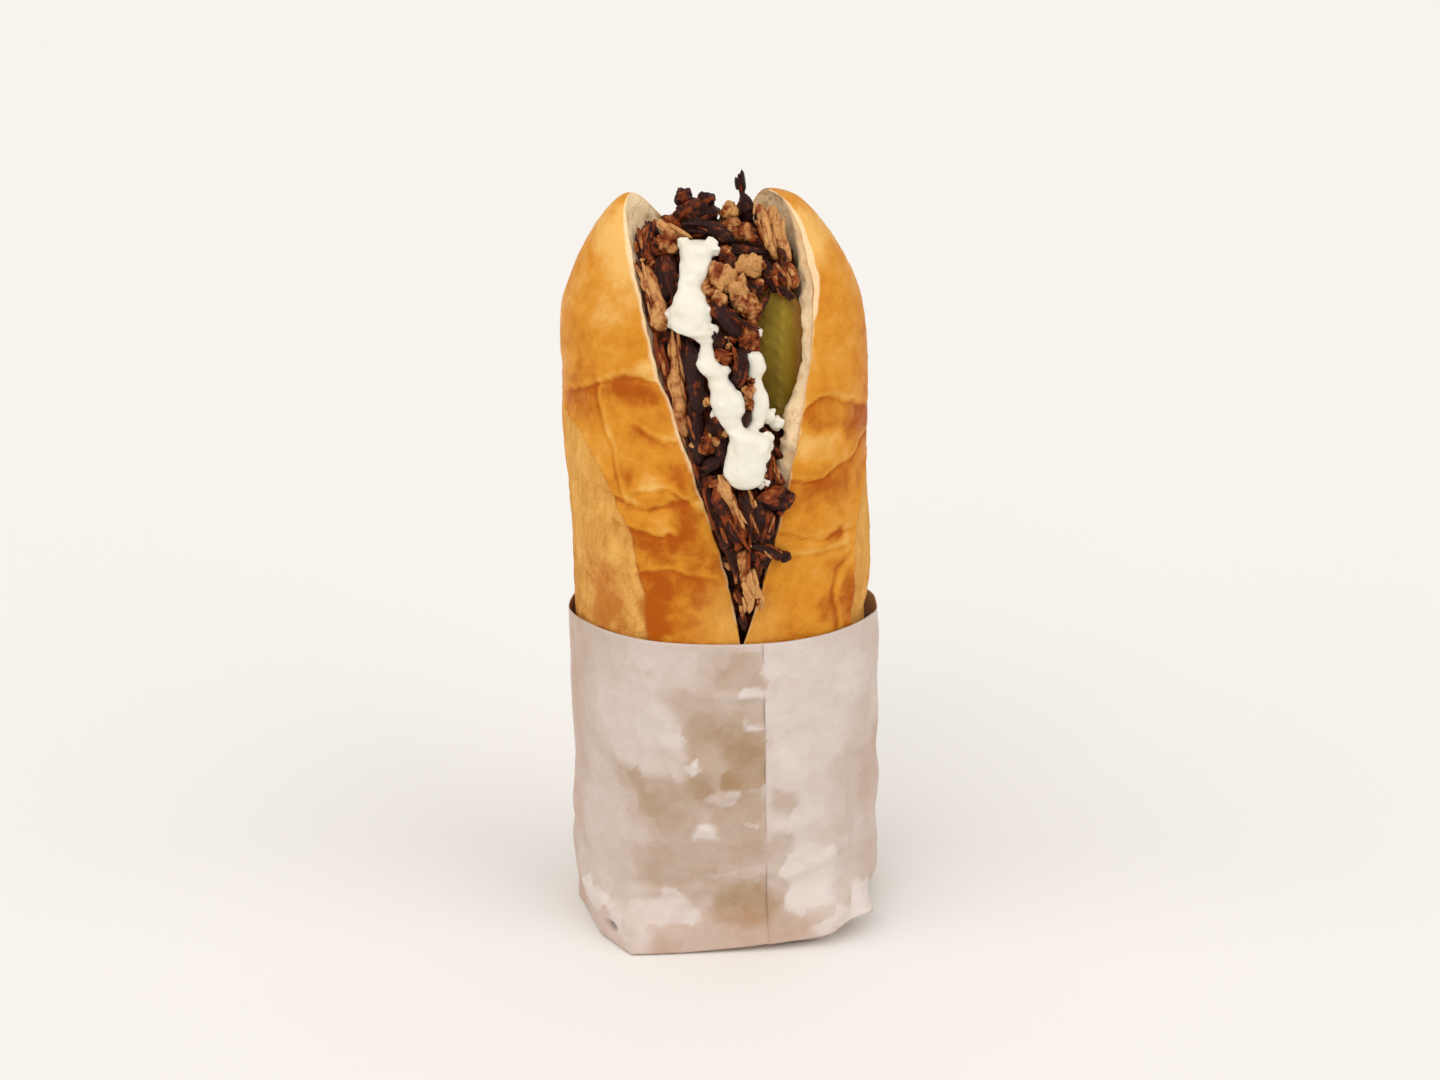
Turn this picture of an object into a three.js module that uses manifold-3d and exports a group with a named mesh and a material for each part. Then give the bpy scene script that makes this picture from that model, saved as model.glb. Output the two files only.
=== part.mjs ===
// A shawarma sandwich: half a short baguette, slit down its front and spread open at the rounded end, filled
// with shredded roast meat, a gherkin slice and garlic sauce, its lower half in a folded paper sleeve.
// Millimetres, +Z up. The sandwich stands on its folded paper base at Z = 0, and its slit faces -Y.

import * as THREE from "three";
import { mergeVertices } from "three/addons/utils/BufferGeometryUtils.js";
import Module from "manifold-3d";

const wasm = await Module();
wasm.setup();

// -------------------------------------------------------------------------------------------------
// Driving dimensions
// -------------------------------------------------------------------------------------------------
const CLEARANCE = 0.35; // between pieces that touch
const CORE_CLEARANCE = 0.65; // between the heap's core and the bread
const MERGE = 1e-4; // vertices closer than this are one

const ROLL = {
  bottom: 6.4, // cut end, inside the sleeve
  top: 189.5, // height of the rounded tips
  halfWidth: 37.4,
  front: 31.5, // depth of the domed top crust, in front of the roll's axis
  back: 28, // depth of the flatter base crust, behind the axis
  taperStart: 75.4,
  taperPower: 3.9,
  frontRoundness: 2.15, // superellipse exponents
  backRoundness: 2.8,
  endRadius: 6,
};

const SLIT = {
  offset: 5, // to the right of the roll's axis
  bottom: 16, // the slit ends here, inside the sleeve
  hinge: 20, // depth of the uncut hinge line behind the axis
  through: 0.8, // the slit goes right through where the bread behind the hinge line is thinner than this
  hingeReach: 14, // the bread bends within this distance of the hinge line
  opensAt: 83, // the lips touch below this height
  splits: 169.2, // from here up the halves come apart at the back too
  splitOver: 12,
  lipGap: 0.3,
  hollow: 4.6, // how far the filling presses into each cut face
};

// How each half is turned out about the hinge over a height above SLIT.opensAt, how its tip leans further
// out, and how much narrower it becomes up its body and at its pinched tip.
const LEFT = {
  side: -1,
  turn: 22.8,
  over: 67.3,
  power: 1.4,
  lean: 16,
  leanFrom: 145,
  leanPower: 1.38,
  narrowing: 0.024,
  pinch: 0.49,
  pinchPower: 3.1,
};
const RIGHT = {
  side: 1,
  turn: 25.7,
  over: 88.6,
  power: 0.91,
  lean: 3.3,
  leanFrom: 145,
  leanPower: 3.2,
  narrowing: 0.16,
  pinch: 0.11,
  pinchPower: 2.2,
};

const SLEEVE = {
  rim: 84,
  left: 39.2,
  right: 40.3,
  front: 33.3,
  back: 30.4,
  thickness: 0.6,
  base: 0.8,
  shift: 1.2, // sleeve and roll lean, their foot this far to the right of the rim
  foldHeight: 18, // the wall squares up into the folded base below this
  squareLeft: 3.3, // superellipse exponents of the folded foot
  squareRight: 4.4,
  squareBack: 3.2,
  jut: 3.4, // the left front corner of the fold juts out
  flat: 0.7, // share of the base that lies flat
  edge: 0.3, // height of the base's rounded edge
  liftRight: 3.4, // the folded front edge rises towards the right
};

const HEAP = {
  bottom: 24,
  top: 176, // of the packed core, which single pieces stand out of
  dome: 5,
  recessLeft: 0.05, // shares of each cut face left bare behind the lip
  recessRight: 0.2,
  behind: 0.9, // the heap's back, as a share of the cut face's depth
  bulge: 2.6, // how far the heap stands out between the lips
};

const GHERKIN = {
  length: 37,
  width: 20,
  thickness: 6,
  cup: 1, // how far its middle curls back
  centre: [13.8, -11.2, 152.5],
  turn: 50,
  tilt: 2,
};
const POCKET = { steps: 5, step: [0.6, -3, 0] }; // the heap is hollowed in front of the gherkin

const CENTRE = [0.4, -2.65]; // of the finished sandwich, which ends up over the origin

// -------------------------------------------------------------------------------------------------
// Small helpers
// -------------------------------------------------------------------------------------------------
const rad = THREE.MathUtils.degToRad;
const clamp01 = (t) => Math.min(1, Math.max(0, t));
const smooth = (t) => clamp01(t) ** 2 * (3 - 2 * clamp01(t));
const lerp = THREE.MathUtils.lerp;

// A repeatable unevenness between -1 and 1, from three crossed waves.
function wobble(x, y, z, wavelength, seed = 0) {
  const k = (2 * Math.PI) / wavelength;
  const a = Math.sin(k * (x + 0.61 * y) + seed * 1.7 + 1.3 * Math.sin(k * 0.7 * z));
  const b = Math.sin(k * (0.83 * y - 0.37 * z) + seed * 2.9);
  const c = Math.sin(k * (0.9 * z + 0.45 * x) + seed * 4.1);
  return (a + b + c) / 3;
}

// A patch of surface: at(u, v) gives a point for u and v from 0 to 1, and flip turns its faces over.
function patch(columns, rows, at, flip = false) {
  const points = [];
  for (let j = 0; j <= rows; j++) {
    for (let i = 0; i <= columns; i++) points.push(at(i / columns, j / rows));
  }
  const corners = [];
  for (let j = 0; j < rows; j++) {
    for (let i = 0; i < columns; i++) {
      const a = j * (columns + 1) + i;
      const [b, c, d] = [a + 1, a + columns + 2, a + columns + 1];
      corners.push(...(flip ? [a, d, b, b, d, c] : [a, b, d, b, c, d]));
    }
  }
  return corners.map((n) => points[n]);
}

// Joins patches into one closed geometry that faces out, without the triangles that collapse at poles.
function closedGeometry(...patches) {
  const soup = new THREE.BufferGeometry().setFromPoints(patches.flat().map((p) => new THREE.Vector3(...p)));
  const merged = mergeVertices(soup, MERGE);
  const index = merged.index.array;
  const point = (n) => new THREE.Vector3().fromBufferAttribute(merged.attributes.position, n);
  const kept = [];
  let volume = 0;
  for (let i = 0; i < index.length; i += 3) {
    const [a, b, c] = index.slice(i, i + 3);
    if (a === b || b === c || a === c) continue;
    kept.push(a, b, c);
    volume += point(a).dot(point(b).cross(point(c)));
  }
  merged.setIndex(volume < 0 ? kept.reverse() : kept);
  return merged;
}

function solidFrom(geometry) {
  const triVerts = new Uint32Array(geometry.index.array);
  const vertProperties = new Float32Array(geometry.attributes.position.array);
  return new wasm.Manifold(new wasm.Mesh({ numProp: 3, vertProperties, triVerts }));
}

function geometryFrom(solid) {
  const mesh = solid.getMesh();
  const geometry = new THREE.BufferGeometry();
  geometry.setAttribute("position", new THREE.BufferAttribute(new Float32Array(mesh.vertProperties), 3));
  geometry.setIndex(new THREE.BufferAttribute(new Uint32Array(mesh.triVerts), 1));
  return geometry;
}

// The same closed geometry, grown outwards by a distance along its vertex normals.
function grown(geometry, distance) {
  const copy = geometry.clone();
  copy.computeVertexNormals();
  const { position, normal } = copy.attributes;
  for (let i = 0; i < position.count; i++) {
    position.setXYZ(
      i,
      position.getX(i) + normal.getX(i) * distance,
      position.getY(i) + normal.getY(i) * distance,
      position.getZ(i) + normal.getZ(i) * distance,
    );
  }
  copy.deleteAttribute("normal");
  return copy;
}

// The largest body of a solid that a cut has left in several.
function largest(solid) {
  return solid.decompose().reduce((a, b) => (b.volume() > a.volume() ? b : a));
}

// -------------------------------------------------------------------------------------------------
// The roll
// -------------------------------------------------------------------------------------------------

// The roll's section at a height, as a share of its full section.
function taper(z) {
  const t = clamp01((z - ROLL.taperStart) / (ROLL.top - ROLL.taperStart));
  return Math.sqrt(Math.max(0, 1 - t ** ROLL.taperPower));
}

// How far the rounded edge of the cut end draws the section in.
function endInset(z) {
  const up = Math.min(ROLL.endRadius, z - ROLL.bottom);
  return ROLL.endRadius - Math.sqrt(ROLL.endRadius ** 2 - (ROLL.endRadius - up) ** 2);
}

const footShift = (z) => SLEEVE.shift * Math.max(0, 1 - z / SLEEVE.rim);
const SLIT_SHARE = SLIT.offset / ROLL.halfWidth;
const slitAt = (z) => SLIT.offset * taper(z);
const roundness = (phi) => (Math.cos(phi) > 0 ? ROLL.frontRoundness : ROLL.backRoundness);

// A point of the unopened roll's crust, at an angle from the front meridian towards the left.
function crustPoint(phi, z) {
  const n = roundness(phi);
  const [sin, cos] = [Math.sin(phi), Math.cos(phi)];
  const unitX = -Math.sign(sin) * Math.abs(sin) ** (2 / n);
  const unitY = -Math.sign(cos) * Math.abs(cos) ** (2 / n);
  const inset = endInset(z);
  const depth = unitY < 0 ? ROLL.front : ROLL.back;
  const lump = 1 + 0.012 * wobble(unitX * 30, unitY * 30, z, 46, 3);
  return [unitX * (ROLL.halfWidth * taper(z) - inset) * lump, unitY * (depth * taper(z) - inset) * lump];
}

// Bends a point of the unopened roll about the hinge line, as the halves are spread. Next to the hinge line
// it stays where it is. Past SLIT.hingeReach, or where the halves are apart, it turns by the whole angle.
function openOut(half, [x, y], z) {
  const rise = z - SLIT.opensAt;
  const angle = rad(half.turn) * clamp01(rise / half.over) ** half.power;
  const tip = clamp01((z - half.leanFrom) / (ROLL.top - half.leanFrom));
  const width = 1 - half.narrowing * smooth((z - SLEEVE.rim) / 50) - half.pinch * tip ** half.pinchPower;
  const hingeX = slitAt(z);
  const dx = (x - hingeX) * width;
  const dy = y - SLIT.hinge;
  const near = smooth((dy > 0 ? Math.abs(dx) : Math.hypot(dx, dy)) / SLIT.hingeReach);
  const reach = lerp(near, 1, smooth((z - SLIT.splits) / SLIT.splitOver));
  const turn = -half.side * angle * reach;
  const [cos, sin] = [Math.cos(turn), Math.sin(turn)];
  const lean = half.side * half.lean * tip ** half.leanPower * reach;
  return [hingeX + dx * cos + dy * sin + lean + footShift(z), SLIT.hinge - dx * sin + dy * cos, z];
}

// Half the gap between the closed lips, which runs out at the foot of the slit and at the tips.
const lipGapAt = (z) => SLIT.lipGap * clamp01((z - SLIT.bottom) / 4) * clamp01(4 * taper(z));

// Half the width of the slit in the unopened roll. across runs from 0 at the lip to 1 at the hinge.
function hollowAt(across, z) {
  const ends = smooth((z - SLIT.bottom) / 18) * taper(z);
  return lipGapAt(z) * (1 - across) + SLIT.hollow * ends * Math.sin(Math.PI * clamp01(across)) ** 0.8;
}

// The front and back angles at which the slit plane meets the crust.
const FRONT_PHI = -Math.asin(SLIT_SHARE ** (ROLL.frontRoundness / 2));
const BACK_PHI = Math.PI + Math.asin(SLIT_SHARE ** (ROLL.backRoundness / 2));

// The unopened cut face, from the lip at across 0 to the hinge line, or to the back crust above the hinge.
function facePoint(half, across, z, hollow = hollowAt(across, z)) {
  const lipY = crustPoint(FRONT_PHI, z)[1];
  const crustY = crustPoint(BACK_PHI, z)[1];
  const backY = crustY > SLIT.hinge + SLIT.through ? SLIT.hinge : crustY;
  return [slitAt(z) + half.side * hollow, lerp(lipY, backY, across)];
}

// A half's crust, from the lip at u 0 round to the back at u 1.
function halfCrustPoint(half, u, z) {
  const end = half.side < 0 ? BACK_PHI : BACK_PHI - 2 * Math.PI;
  const [x, y] = crustPoint(lerp(FRONT_PHI, end, u), z);
  const ease = Math.max(0, 1 - 10 * u);
  return [(u === 0 || u === 1 ? slitAt(z) : x) + half.side * lipGapAt(z) * ease, y];
}

const FACE_COLUMNS = 8;

// Heights of the rows: close together over the rounded end and over the tips, and even up the body.
const ROWS = { end: 3, body: 20, tips: 10, bodyTop: 140 };
function rowHeight(j) {
  if (j < ROWS.end) return lerp(ROLL.bottom, SLIT.bottom, (j / ROWS.end) ** 1.6);
  const body = (j - ROWS.end) / ROWS.body;
  if (body <= 1) return lerp(SLIT.bottom, ROWS.bodyTop, body);
  const turn = (Math.PI / 2) * ((j - ROWS.end - ROWS.body) / ROWS.tips);
  return lerp(ROWS.bodyTop, ROLL.top, Math.sin(turn));
}

function breadGeometry() {
  const slitRows = ROWS.body + ROWS.tips;
  const rows = ROWS.end + slitRows;
  const patches = [];
  for (const half of [LEFT, RIGHT]) {
    const columns = half.side < 0 ? 19 : 16;
    const crust = (u, z) => openOut(half, halfCrustPoint(half, u, z), z);
    const face = (across, v) => {
      const z = rowHeight(ROWS.end + Math.round(v * slitRows));
      const [x, y] = facePoint(half, across, z, v === 0 ? 0 : hollowAt(across, z));
      return openOut(half, [across === 1 ? slitAt(z) : x, y], z);
    };
    const end = (u, v) => (v === 0 ? [slitAt(ROLL.bottom), 0, ROLL.bottom] : crust(u, ROLL.bottom));
    const flip = half.side > 0;
    patches.push(
      patch(columns, rows, (u, v) => crust(u, rowHeight(Math.round(v * rows))), !flip),
      patch(FACE_COLUMNS, slitRows, face, flip),
      patch(columns, 1, end, !flip),
    );
  }
  return closedGeometry(...patches);
}

// -------------------------------------------------------------------------------------------------
// The paper sleeve: a wall round the roll, closed under it by a folded base
// -------------------------------------------------------------------------------------------------

// The sleeve's outline at an angle from the front towards the left. Its foot squares up into folded corners.
function sleevePoint(phi, z, inset) {
  const fold = smooth(1 - z / SLEEVE.foldHeight);
  const [sin, cos] = [Math.sin(phi), Math.cos(phi)];
  const square = cos < 0 ? SLEEVE.squareBack : sin > 0 ? SLEEVE.squareLeft : SLEEVE.squareRight;
  const n = lerp(roundness(phi), square, fold);
  const unitX = -Math.sign(sin) * Math.abs(sin) ** (2 / n);
  const unitY = -Math.sign(cos) * Math.abs(cos) ** (2 / n);
  const jut = SLEEVE.jut * fold * smooth(1 - Math.abs(phi - rad(33)) / rad(40));
  const width = (unitX < 0 ? SLEEVE.left : SLEEVE.right) - inset;
  const depth = (unitY < 0 ? SLEEVE.front + jut : SLEEVE.back) - inset;
  const foot = 1 - z / SLEEVE.rim;
  const crease = 1 + 0.006 * foot * wobble(unitX * 40, unitY * 40, z, 31, 5);
  return [unitX * width * crease + footShift(z), unitY * depth * crease];
}

// Height of the wall's lower edge, which lifts off the ground towards the right of the front.
function footHeight(phi) {
  const turn = phi > Math.PI ? phi - 2 * Math.PI : phi;
  const right = smooth((rad(22) - turn) / rad(75));
  const front = smooth((turn + rad(115)) / rad(40));
  return SLEEVE.edge + SLEEVE.liftRight * right * front;
}

function sleeveGeometry() {
  const columns = 32;
  const wallRows = 8;
  const angle = (u) => 2 * Math.PI * (u % 1);
  const wall = (inset, floor) => (u, v) => {
    const z = lerp(footHeight(angle(u)) + floor, SLEEVE.rim, v ** 1.3);
    return [...sleevePoint(angle(u), z, inset), z];
  };
  const base = (inset, floor) => (u, v) => {
    const low = footHeight(angle(u)) + floor;
    const [x, y] = sleevePoint(angle(u), low, inset);
    const share = v < 1 ? SLEEVE.flat * (v * 1.5) : 1;
    return [SLEEVE.shift + (x - SLEEVE.shift) * share, y * share, v < 1 ? floor : low];
  };
  const rim = (u, v) => [...sleevePoint(angle(u), SLEEVE.rim, v * SLEEVE.thickness), SLEEVE.rim];
  return closedGeometry(
    patch(columns, 3, base(0, 0)),
    patch(columns, wallRows, wall(0, 0)),
    patch(columns, 1, rim),
    patch(columns, wallRows, wall(SLEEVE.thickness, SLEEVE.base), true),
    patch(columns, 3, base(SLEEVE.thickness, SLEEVE.base), true),
  );
}

// -------------------------------------------------------------------------------------------------
// The filling
// -------------------------------------------------------------------------------------------------

// A rounded piece of meat between two points, blunt at both ends and uneven along its length.
function stripGeometry({ from, to, width, thickness, seed }) {
  const start = new THREE.Vector3(...from);
  const along = new THREE.Vector3(...to).sub(start);
  const side = new THREE.Vector3().crossVectors(along, new THREE.Vector3(0, -1, 0)).normalize();
  const out = new THREE.Vector3().crossVectors(side, along).normalize();
  const at = (u, v) => {
    const phi = 2 * Math.PI * (u % 1);
    const swell = Math.sqrt(1 - Math.abs(2 * v - 1) ** 3.2);
    const uneven = 1 + 0.16 * wobble(Math.cos(phi) * 3, v * 9, Math.sin(phi) * 3, 7, seed);
    const p = start.clone().addScaledVector(along, v);
    p.addScaledVector(out, (Math.sin(phi) * swell * uneven * thickness) / 2);
    p.addScaledVector(side, (Math.cos(phi) * swell * uneven * width) / 2);
    return p.toArray();
  };
  return closedGeometry(patch(6, 5, at));
}

// The heap's core: it fills the hollow between the cut faces and bulges out between the lips. Its rows are
// the bread's own rows, so that the two keep their clearance all the way.
function heapCoreGeometry() {
  const frontColumns = 5;
  let first = ROWS.end;
  while (rowHeight(first) < HEAP.bottom) first++;
  let last = first;
  while (rowHeight(last + 1) < HEAP.top) last++;
  const outline = (z) => {
    const spread = smooth((z - SLIT.opensAt) / 30);
    const left = lerp(0.16, HEAP.recessLeft, spread);
    const right = lerp(left, HEAP.recessRight, smooth((z - 118) / 12));
    const face = (half, across) => {
      const hollow = Math.max(SLIT.lipGap / 2, hollowAt(across, z) - CORE_CLEARANCE);
      return openOut(half, facePoint(half, across, z, hollow), z);
    };
    // The bread's own columns between the bare lip and the back of the heap.
    const columns = [...Array(FACE_COLUMNS - 1).keys()].map((i) => (i + 1) / FACE_COLUMNS);
    const past = (bare) => columns.map((across) => Math.max(across, bare + 0.04 * across));
    const edge = (bare) => [bare, ...past(bare), HEAP.behind];
    const leftSide = edge(left).map((across) => face(LEFT, across));
    const rightSide = edge(right).map((across) => face(RIGHT, across));
    const [a, b] = [rightSide[0], leftSide[0]];
    const front = [];
    for (let i = 1; i < frontColumns; i++) {
      const t = i / frontColumns;
      const bulge = HEAP.bulge * spread * Math.sin(Math.PI * t) * (1 + 0.5 * wobble(t * 20, 0, z, 17, 1));
      front.push([lerp(a[0], b[0], t), lerp(a[1], b[1], t) - bulge, z]);
    }
    return [...leftSide, ...rightSide.reverse(), ...front];
  };
  const rings = [];
  for (let j = first; j <= last; j++) rings.push(outline(rowHeight(j)));
  const shrunk = (ring, share, rise) => {
    const [x, y] = [0, 1].map((axis) => ring.reduce((sum, p) => sum + p[axis], 0) / ring.length);
    return ring.map((p) => [lerp(x, p[0], share), lerp(y, p[1], share), p[2] + rise]);
  };
  const top = rings[rings.length - 1];
  const rows = [
    shrunk(rings[0], 0, 0),
    ...rings,
    shrunk(top, 0.8, 0.6 * HEAP.dome),
    shrunk(top, 0.4, 0.95 * HEAP.dome),
    shrunk(top, 0, HEAP.dome),
  ];
  const columns = top.length;
  const at = (u, v) => rows[Math.round(v * (rows.length - 1))][Math.round(u * columns) % columns];
  return closedGeometry(patch(columns, rows.length - 1, at));
}

// Pieces of meat that stand out of the heap, from the tips down to the foot of the opening.
const STRIPS = [
  { from: [-12, 0, 176], to: [-7, -4, 190.5], width: 8, thickness: 7 },
  { from: [-3, 0, 175], to: [-2, -3, 189], width: 7, thickness: 7 },
  { from: [5.5, -1, 180], to: [3.9, -2, 194.5], width: 2.6, thickness: 2.6 },
  { from: [6.5, -4, 175], to: [5, -2, 188.5], width: 5, thickness: 6 },
  { from: [14, -9, 172], to: [9, -5, 188], width: 4.5, thickness: 5 },
  { from: [-18, -8, 183], to: [-9, -6, 180], width: 4.5, thickness: 5 },
  { from: [-16, -12, 172], to: [-14, -9, 184], width: 8, thickness: 7 },
  { from: [-12, -20, 159], to: [-19, -14, 177], width: 5, thickness: 5 },
  { from: [-4, -18, 178], to: [7, -22, 160], width: 8, thickness: 6 },
  { from: [8, -15, 180], to: [6, -20, 162], width: 8, thickness: 6 },
  { from: [-15, -23, 160], to: [-9, -28, 138], width: 6, thickness: 6 },
  { from: [-8, -22, 160], to: [-4, -29, 130], width: 6, thickness: 6 },
  { from: [0.5, -31, 129], to: [4.8, -33.5, 109], width: 6, thickness: 6 },
  { from: [7, -30, 127], to: [14.5, -32.5, 121], width: 7.5, thickness: 6 },
  { from: [7.5, -31, 127], to: [8, -32.5, 106], width: 8, thickness: 5 },
  { from: [-4.5, -29, 127], to: [1, -31, 106], width: 4.5, thickness: 5 },
  { from: [6, -32.5, 112.5], to: [17, -34, 106.5], width: 3.4, thickness: 3.4 },
  { from: [4, -30, 105], to: [10.5, -33.5, 93.5], width: 6, thickness: 4 },
];

function heapSolid(gherkin) {
  let solid = solidFrom(heapCoreGeometry());
  const pocket = grown(gherkin, CLEARANCE);
  for (let i = 0; i < POCKET.steps; i++) {
    pocket.translate(...POCKET.step);
    solid = solid.subtract(solidFrom(pocket));
  }
  STRIPS.forEach((strip, seed) => {
    solid = solid.add(solidFrom(stripGeometry({ ...strip, seed })));
  });
  return solid;
}

// The gherkin slice: long and flat, with rounded ends, standing against the right-hand cut face.
function gherkinGeometry() {
  const at = (u, v) => {
    const phi = 2 * Math.PI * (u % 1);
    const height = Math.cos(Math.PI * v);
    const swell = Math.sqrt(1 - Math.abs(height) ** 2.6);
    const [sin, cos] = [Math.sin(phi), Math.cos(phi)];
    const across = Math.sign(cos) * Math.abs(cos) ** 0.8 * swell;
    const out = Math.sign(sin) * Math.abs(sin) ** 0.8 * swell;
    return [
      (across * GHERKIN.width) / 2,
      (out * GHERKIN.thickness) / 2 + GHERKIN.cup * (1 - height ** 2),
      (height * GHERKIN.length) / 2,
    ];
  };
  const geometry = closedGeometry(patch(14, 12, at));
  geometry.rotateY(rad(GHERKIN.tilt));
  geometry.rotateZ(-rad(GHERKIN.turn));
  return geometry.translate(...GHERKIN.centre);
}

// Sauce: round dollops strung along a line, fat where it pooled and thin where it ran.
const SAUCE_FLATNESS = 0.85;
const SAUCE_RUN = [
  { at: [-7.5, -16, 181.5], radius: 2.6 },
  { at: [-7.6, -18, 177.5], radius: 3.9 },
  { at: [-7.8, -20.5, 171.5], radius: 3.3 },
  { at: [-8, -23.5, 165.5], radius: 5.4 },
  { at: [-5, -26, 159.5], radius: 2.6 },
  { at: [-2, -28.5, 153.5], radius: 2.7 },
  { at: [1, -30.5, 146.5], radius: 4.3 },
  { at: [2.9, -31.5, 140], radius: 2.9 },
  { at: [5.6, -32.5, 133.5], radius: 5.4 },
  { at: [6.2, -32.5, 127.5], radius: 4 },
];
const SAUCE_DABS = [
  { at: [9.4, -21, 157], radius: 2 },
  { at: [9.6, -23.5, 151.5], radius: 2.5 },
  { at: [9.6, -26.5, 144.5], radius: 2.6 },
  { at: [8.4, -30, 137.5], radius: 2.4 },
];

function dollopGeometry(run) {
  const curve = new THREE.CatmullRomCurve3(run.map(({ at }) => new THREE.Vector3(...at)));
  const gaps = run.length - 1;
  const radiusAt = (t) => {
    const i = Math.min(gaps - 1, Math.floor(t * gaps));
    return lerp(run[i].radius, run[i + 1].radius, smooth(t * gaps - i));
  };
  // The first and last rows close the ends, half a radius past the first and last rings.
  const rows = 4 * gaps + 2;
  const at = (u, v) => {
    const t = clamp01((v * rows - 1) / (rows - 2));
    const { x, y, z } = curve.getPoint(t);
    const phi = 2 * Math.PI * (u % 1);
    if (v === 0 || v === 1) return [x, y, z + (0.5 - v) * radiusAt(t)];
    return [x + Math.cos(phi) * radiusAt(t), y + Math.sin(phi) * radiusAt(t) * SAUCE_FLATNESS, z];
  };
  return closedGeometry(patch(9, rows, at));
}

// -------------------------------------------------------------------------------------------------
// Assembly
// -------------------------------------------------------------------------------------------------
const finish = (color, roughness) => new THREE.MeshStandardMaterial({ color, roughness, metalness: 0 });
const MATERIALS = {
  bread: finish(0xc98f45, 0.55),
  paper: finish(0xdccbc0, 0.6),
  meat: finish(0x6b3a20, 0.6),
  gherkin: finish(0x8f7f25, 0.25),
  sauce: finish(0xf2efe4, 0.3),
};

const cutClear = (solid, ...neighbours) =>
  neighbours.reduce((left, other) => left.subtract(solidFrom(grown(other, CLEARANCE))), solid);

const bread = breadGeometry();
const sleeve = sleeveGeometry();
const gherkin = gherkinGeometry();
const sauce = geometryFrom(solidFrom(dollopGeometry(SAUCE_RUN)).add(solidFrom(dollopGeometry(SAUCE_DABS))));
const pieces = {
  bread_roll: [bread, MATERIALS.bread],
  paper_sleeve: [sleeve, MATERIALS.paper],
  gherkin_slice: [geometryFrom(largest(cutClear(solidFrom(gherkin), bread))), MATERIALS.gherkin],
  garlic_sauce: [geometryFrom(largest(cutClear(solidFrom(sauce), bread, gherkin))), MATERIALS.sauce],
  shawarma_meat: [geometryFrom(largest(cutClear(heapSolid(gherkin), bread, gherkin, sauce))), MATERIALS.meat],
};

const sandwich = new THREE.Group();
for (const [name, [geometry, material]] of Object.entries(pieces)) {
  const mesh = new THREE.Mesh(geometry.translate(-CENTRE[0], -CENTRE[1], 0), material);
  mesh.name = name;
  sandwich.add(mesh);
}

export default sandwich;
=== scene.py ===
"""A shawarma sandwich: half a short baguette, slit down its front and spread open at the rounded end, filled
with shredded roast meat, a slice of gherkin and garlic sauce, its lower half wrapped in folded paper.

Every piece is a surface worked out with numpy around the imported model. The shape formulas are in millimetres
in the maker's own frame; to_frame turns them into Blender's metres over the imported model's origin.
"""

import itertools
import math
from types import SimpleNamespace

import bpy
import numpy as np
from bpy.props import FloatProperty, FloatVectorProperty, IntProperty, PointerProperty
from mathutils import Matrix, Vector


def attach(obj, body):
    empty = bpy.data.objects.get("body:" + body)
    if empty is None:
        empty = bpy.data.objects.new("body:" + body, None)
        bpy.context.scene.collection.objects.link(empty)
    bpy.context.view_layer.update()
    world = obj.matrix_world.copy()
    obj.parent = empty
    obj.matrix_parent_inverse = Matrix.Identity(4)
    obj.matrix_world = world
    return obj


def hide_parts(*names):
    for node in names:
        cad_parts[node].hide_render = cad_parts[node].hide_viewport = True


bl_info = {
    "name": "Shawarma Sandwich",
    "version": (1, 0, 0),
    "blender": (4, 5, 0),
    "location": "View3D > Sidebar > Sandwich",
    "description": "Builds a shawarma sandwich in its paper around the packed model",
    "category": "Add Mesh",
}

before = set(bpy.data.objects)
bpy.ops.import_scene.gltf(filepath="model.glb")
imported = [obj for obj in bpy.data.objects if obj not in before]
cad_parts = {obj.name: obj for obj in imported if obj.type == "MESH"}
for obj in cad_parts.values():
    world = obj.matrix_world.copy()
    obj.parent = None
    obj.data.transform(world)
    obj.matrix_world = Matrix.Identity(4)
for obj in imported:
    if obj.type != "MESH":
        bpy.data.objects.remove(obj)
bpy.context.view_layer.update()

MM = 0.001
CENTRE = np.array([0.4, -2.65, 0.0])  # the maker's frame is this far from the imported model's
BODY = "root"
FRONT = (0, -1, 0)

# -------------------------------------------------------------------------------------------------
# Main form, in millimetres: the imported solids' own dimensions
# -------------------------------------------------------------------------------------------------
ROLL = SimpleNamespace(
    bottom=6.4,  # cut end, inside the paper
    top=189.5,
    half_width=37.4,
    front=31.5,
    back=28.0,
    taper_start=75.4,
    taper_power=3.9,
    front_roundness=2.15,  # superellipse exponents
    back_roundness=2.8,
    end_radius=6.0,
)
SLIT = SimpleNamespace(
    offset=5.0,  # to the right of the roll's axis
    bottom=16.0,
    hinge=20.0,  # depth of the uncut line behind the axis
    hinge_reach=14.0,  # the bread bends within this distance of that line
    opens_at=83.0,
    thins_out=168.2,  # from here up the bread behind the hinge is cut through
    splits=169.2,  # and from here up the halves come apart
    split_over=12.0,
    lip_gap=0.3,
    hollow=4.6,  # how far the filling presses into each cut face
)
LEFT = SimpleNamespace(
    slant=0.65,  # how much flatter the back is at the tip
    fuller=0.0,  # how far the crust swells out beside the tip and over the rim
    tip_aside=1.4,
    burst_top=146,
    tip_up=1.2,
    side=-1, turn=22.8, over=67.3, power=1.4, lean=16.0, lean_from=145.0, lean_power=1.38,
    narrowing=0.024, pinch=0.49, pinch_power=3.1,
)
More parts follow.
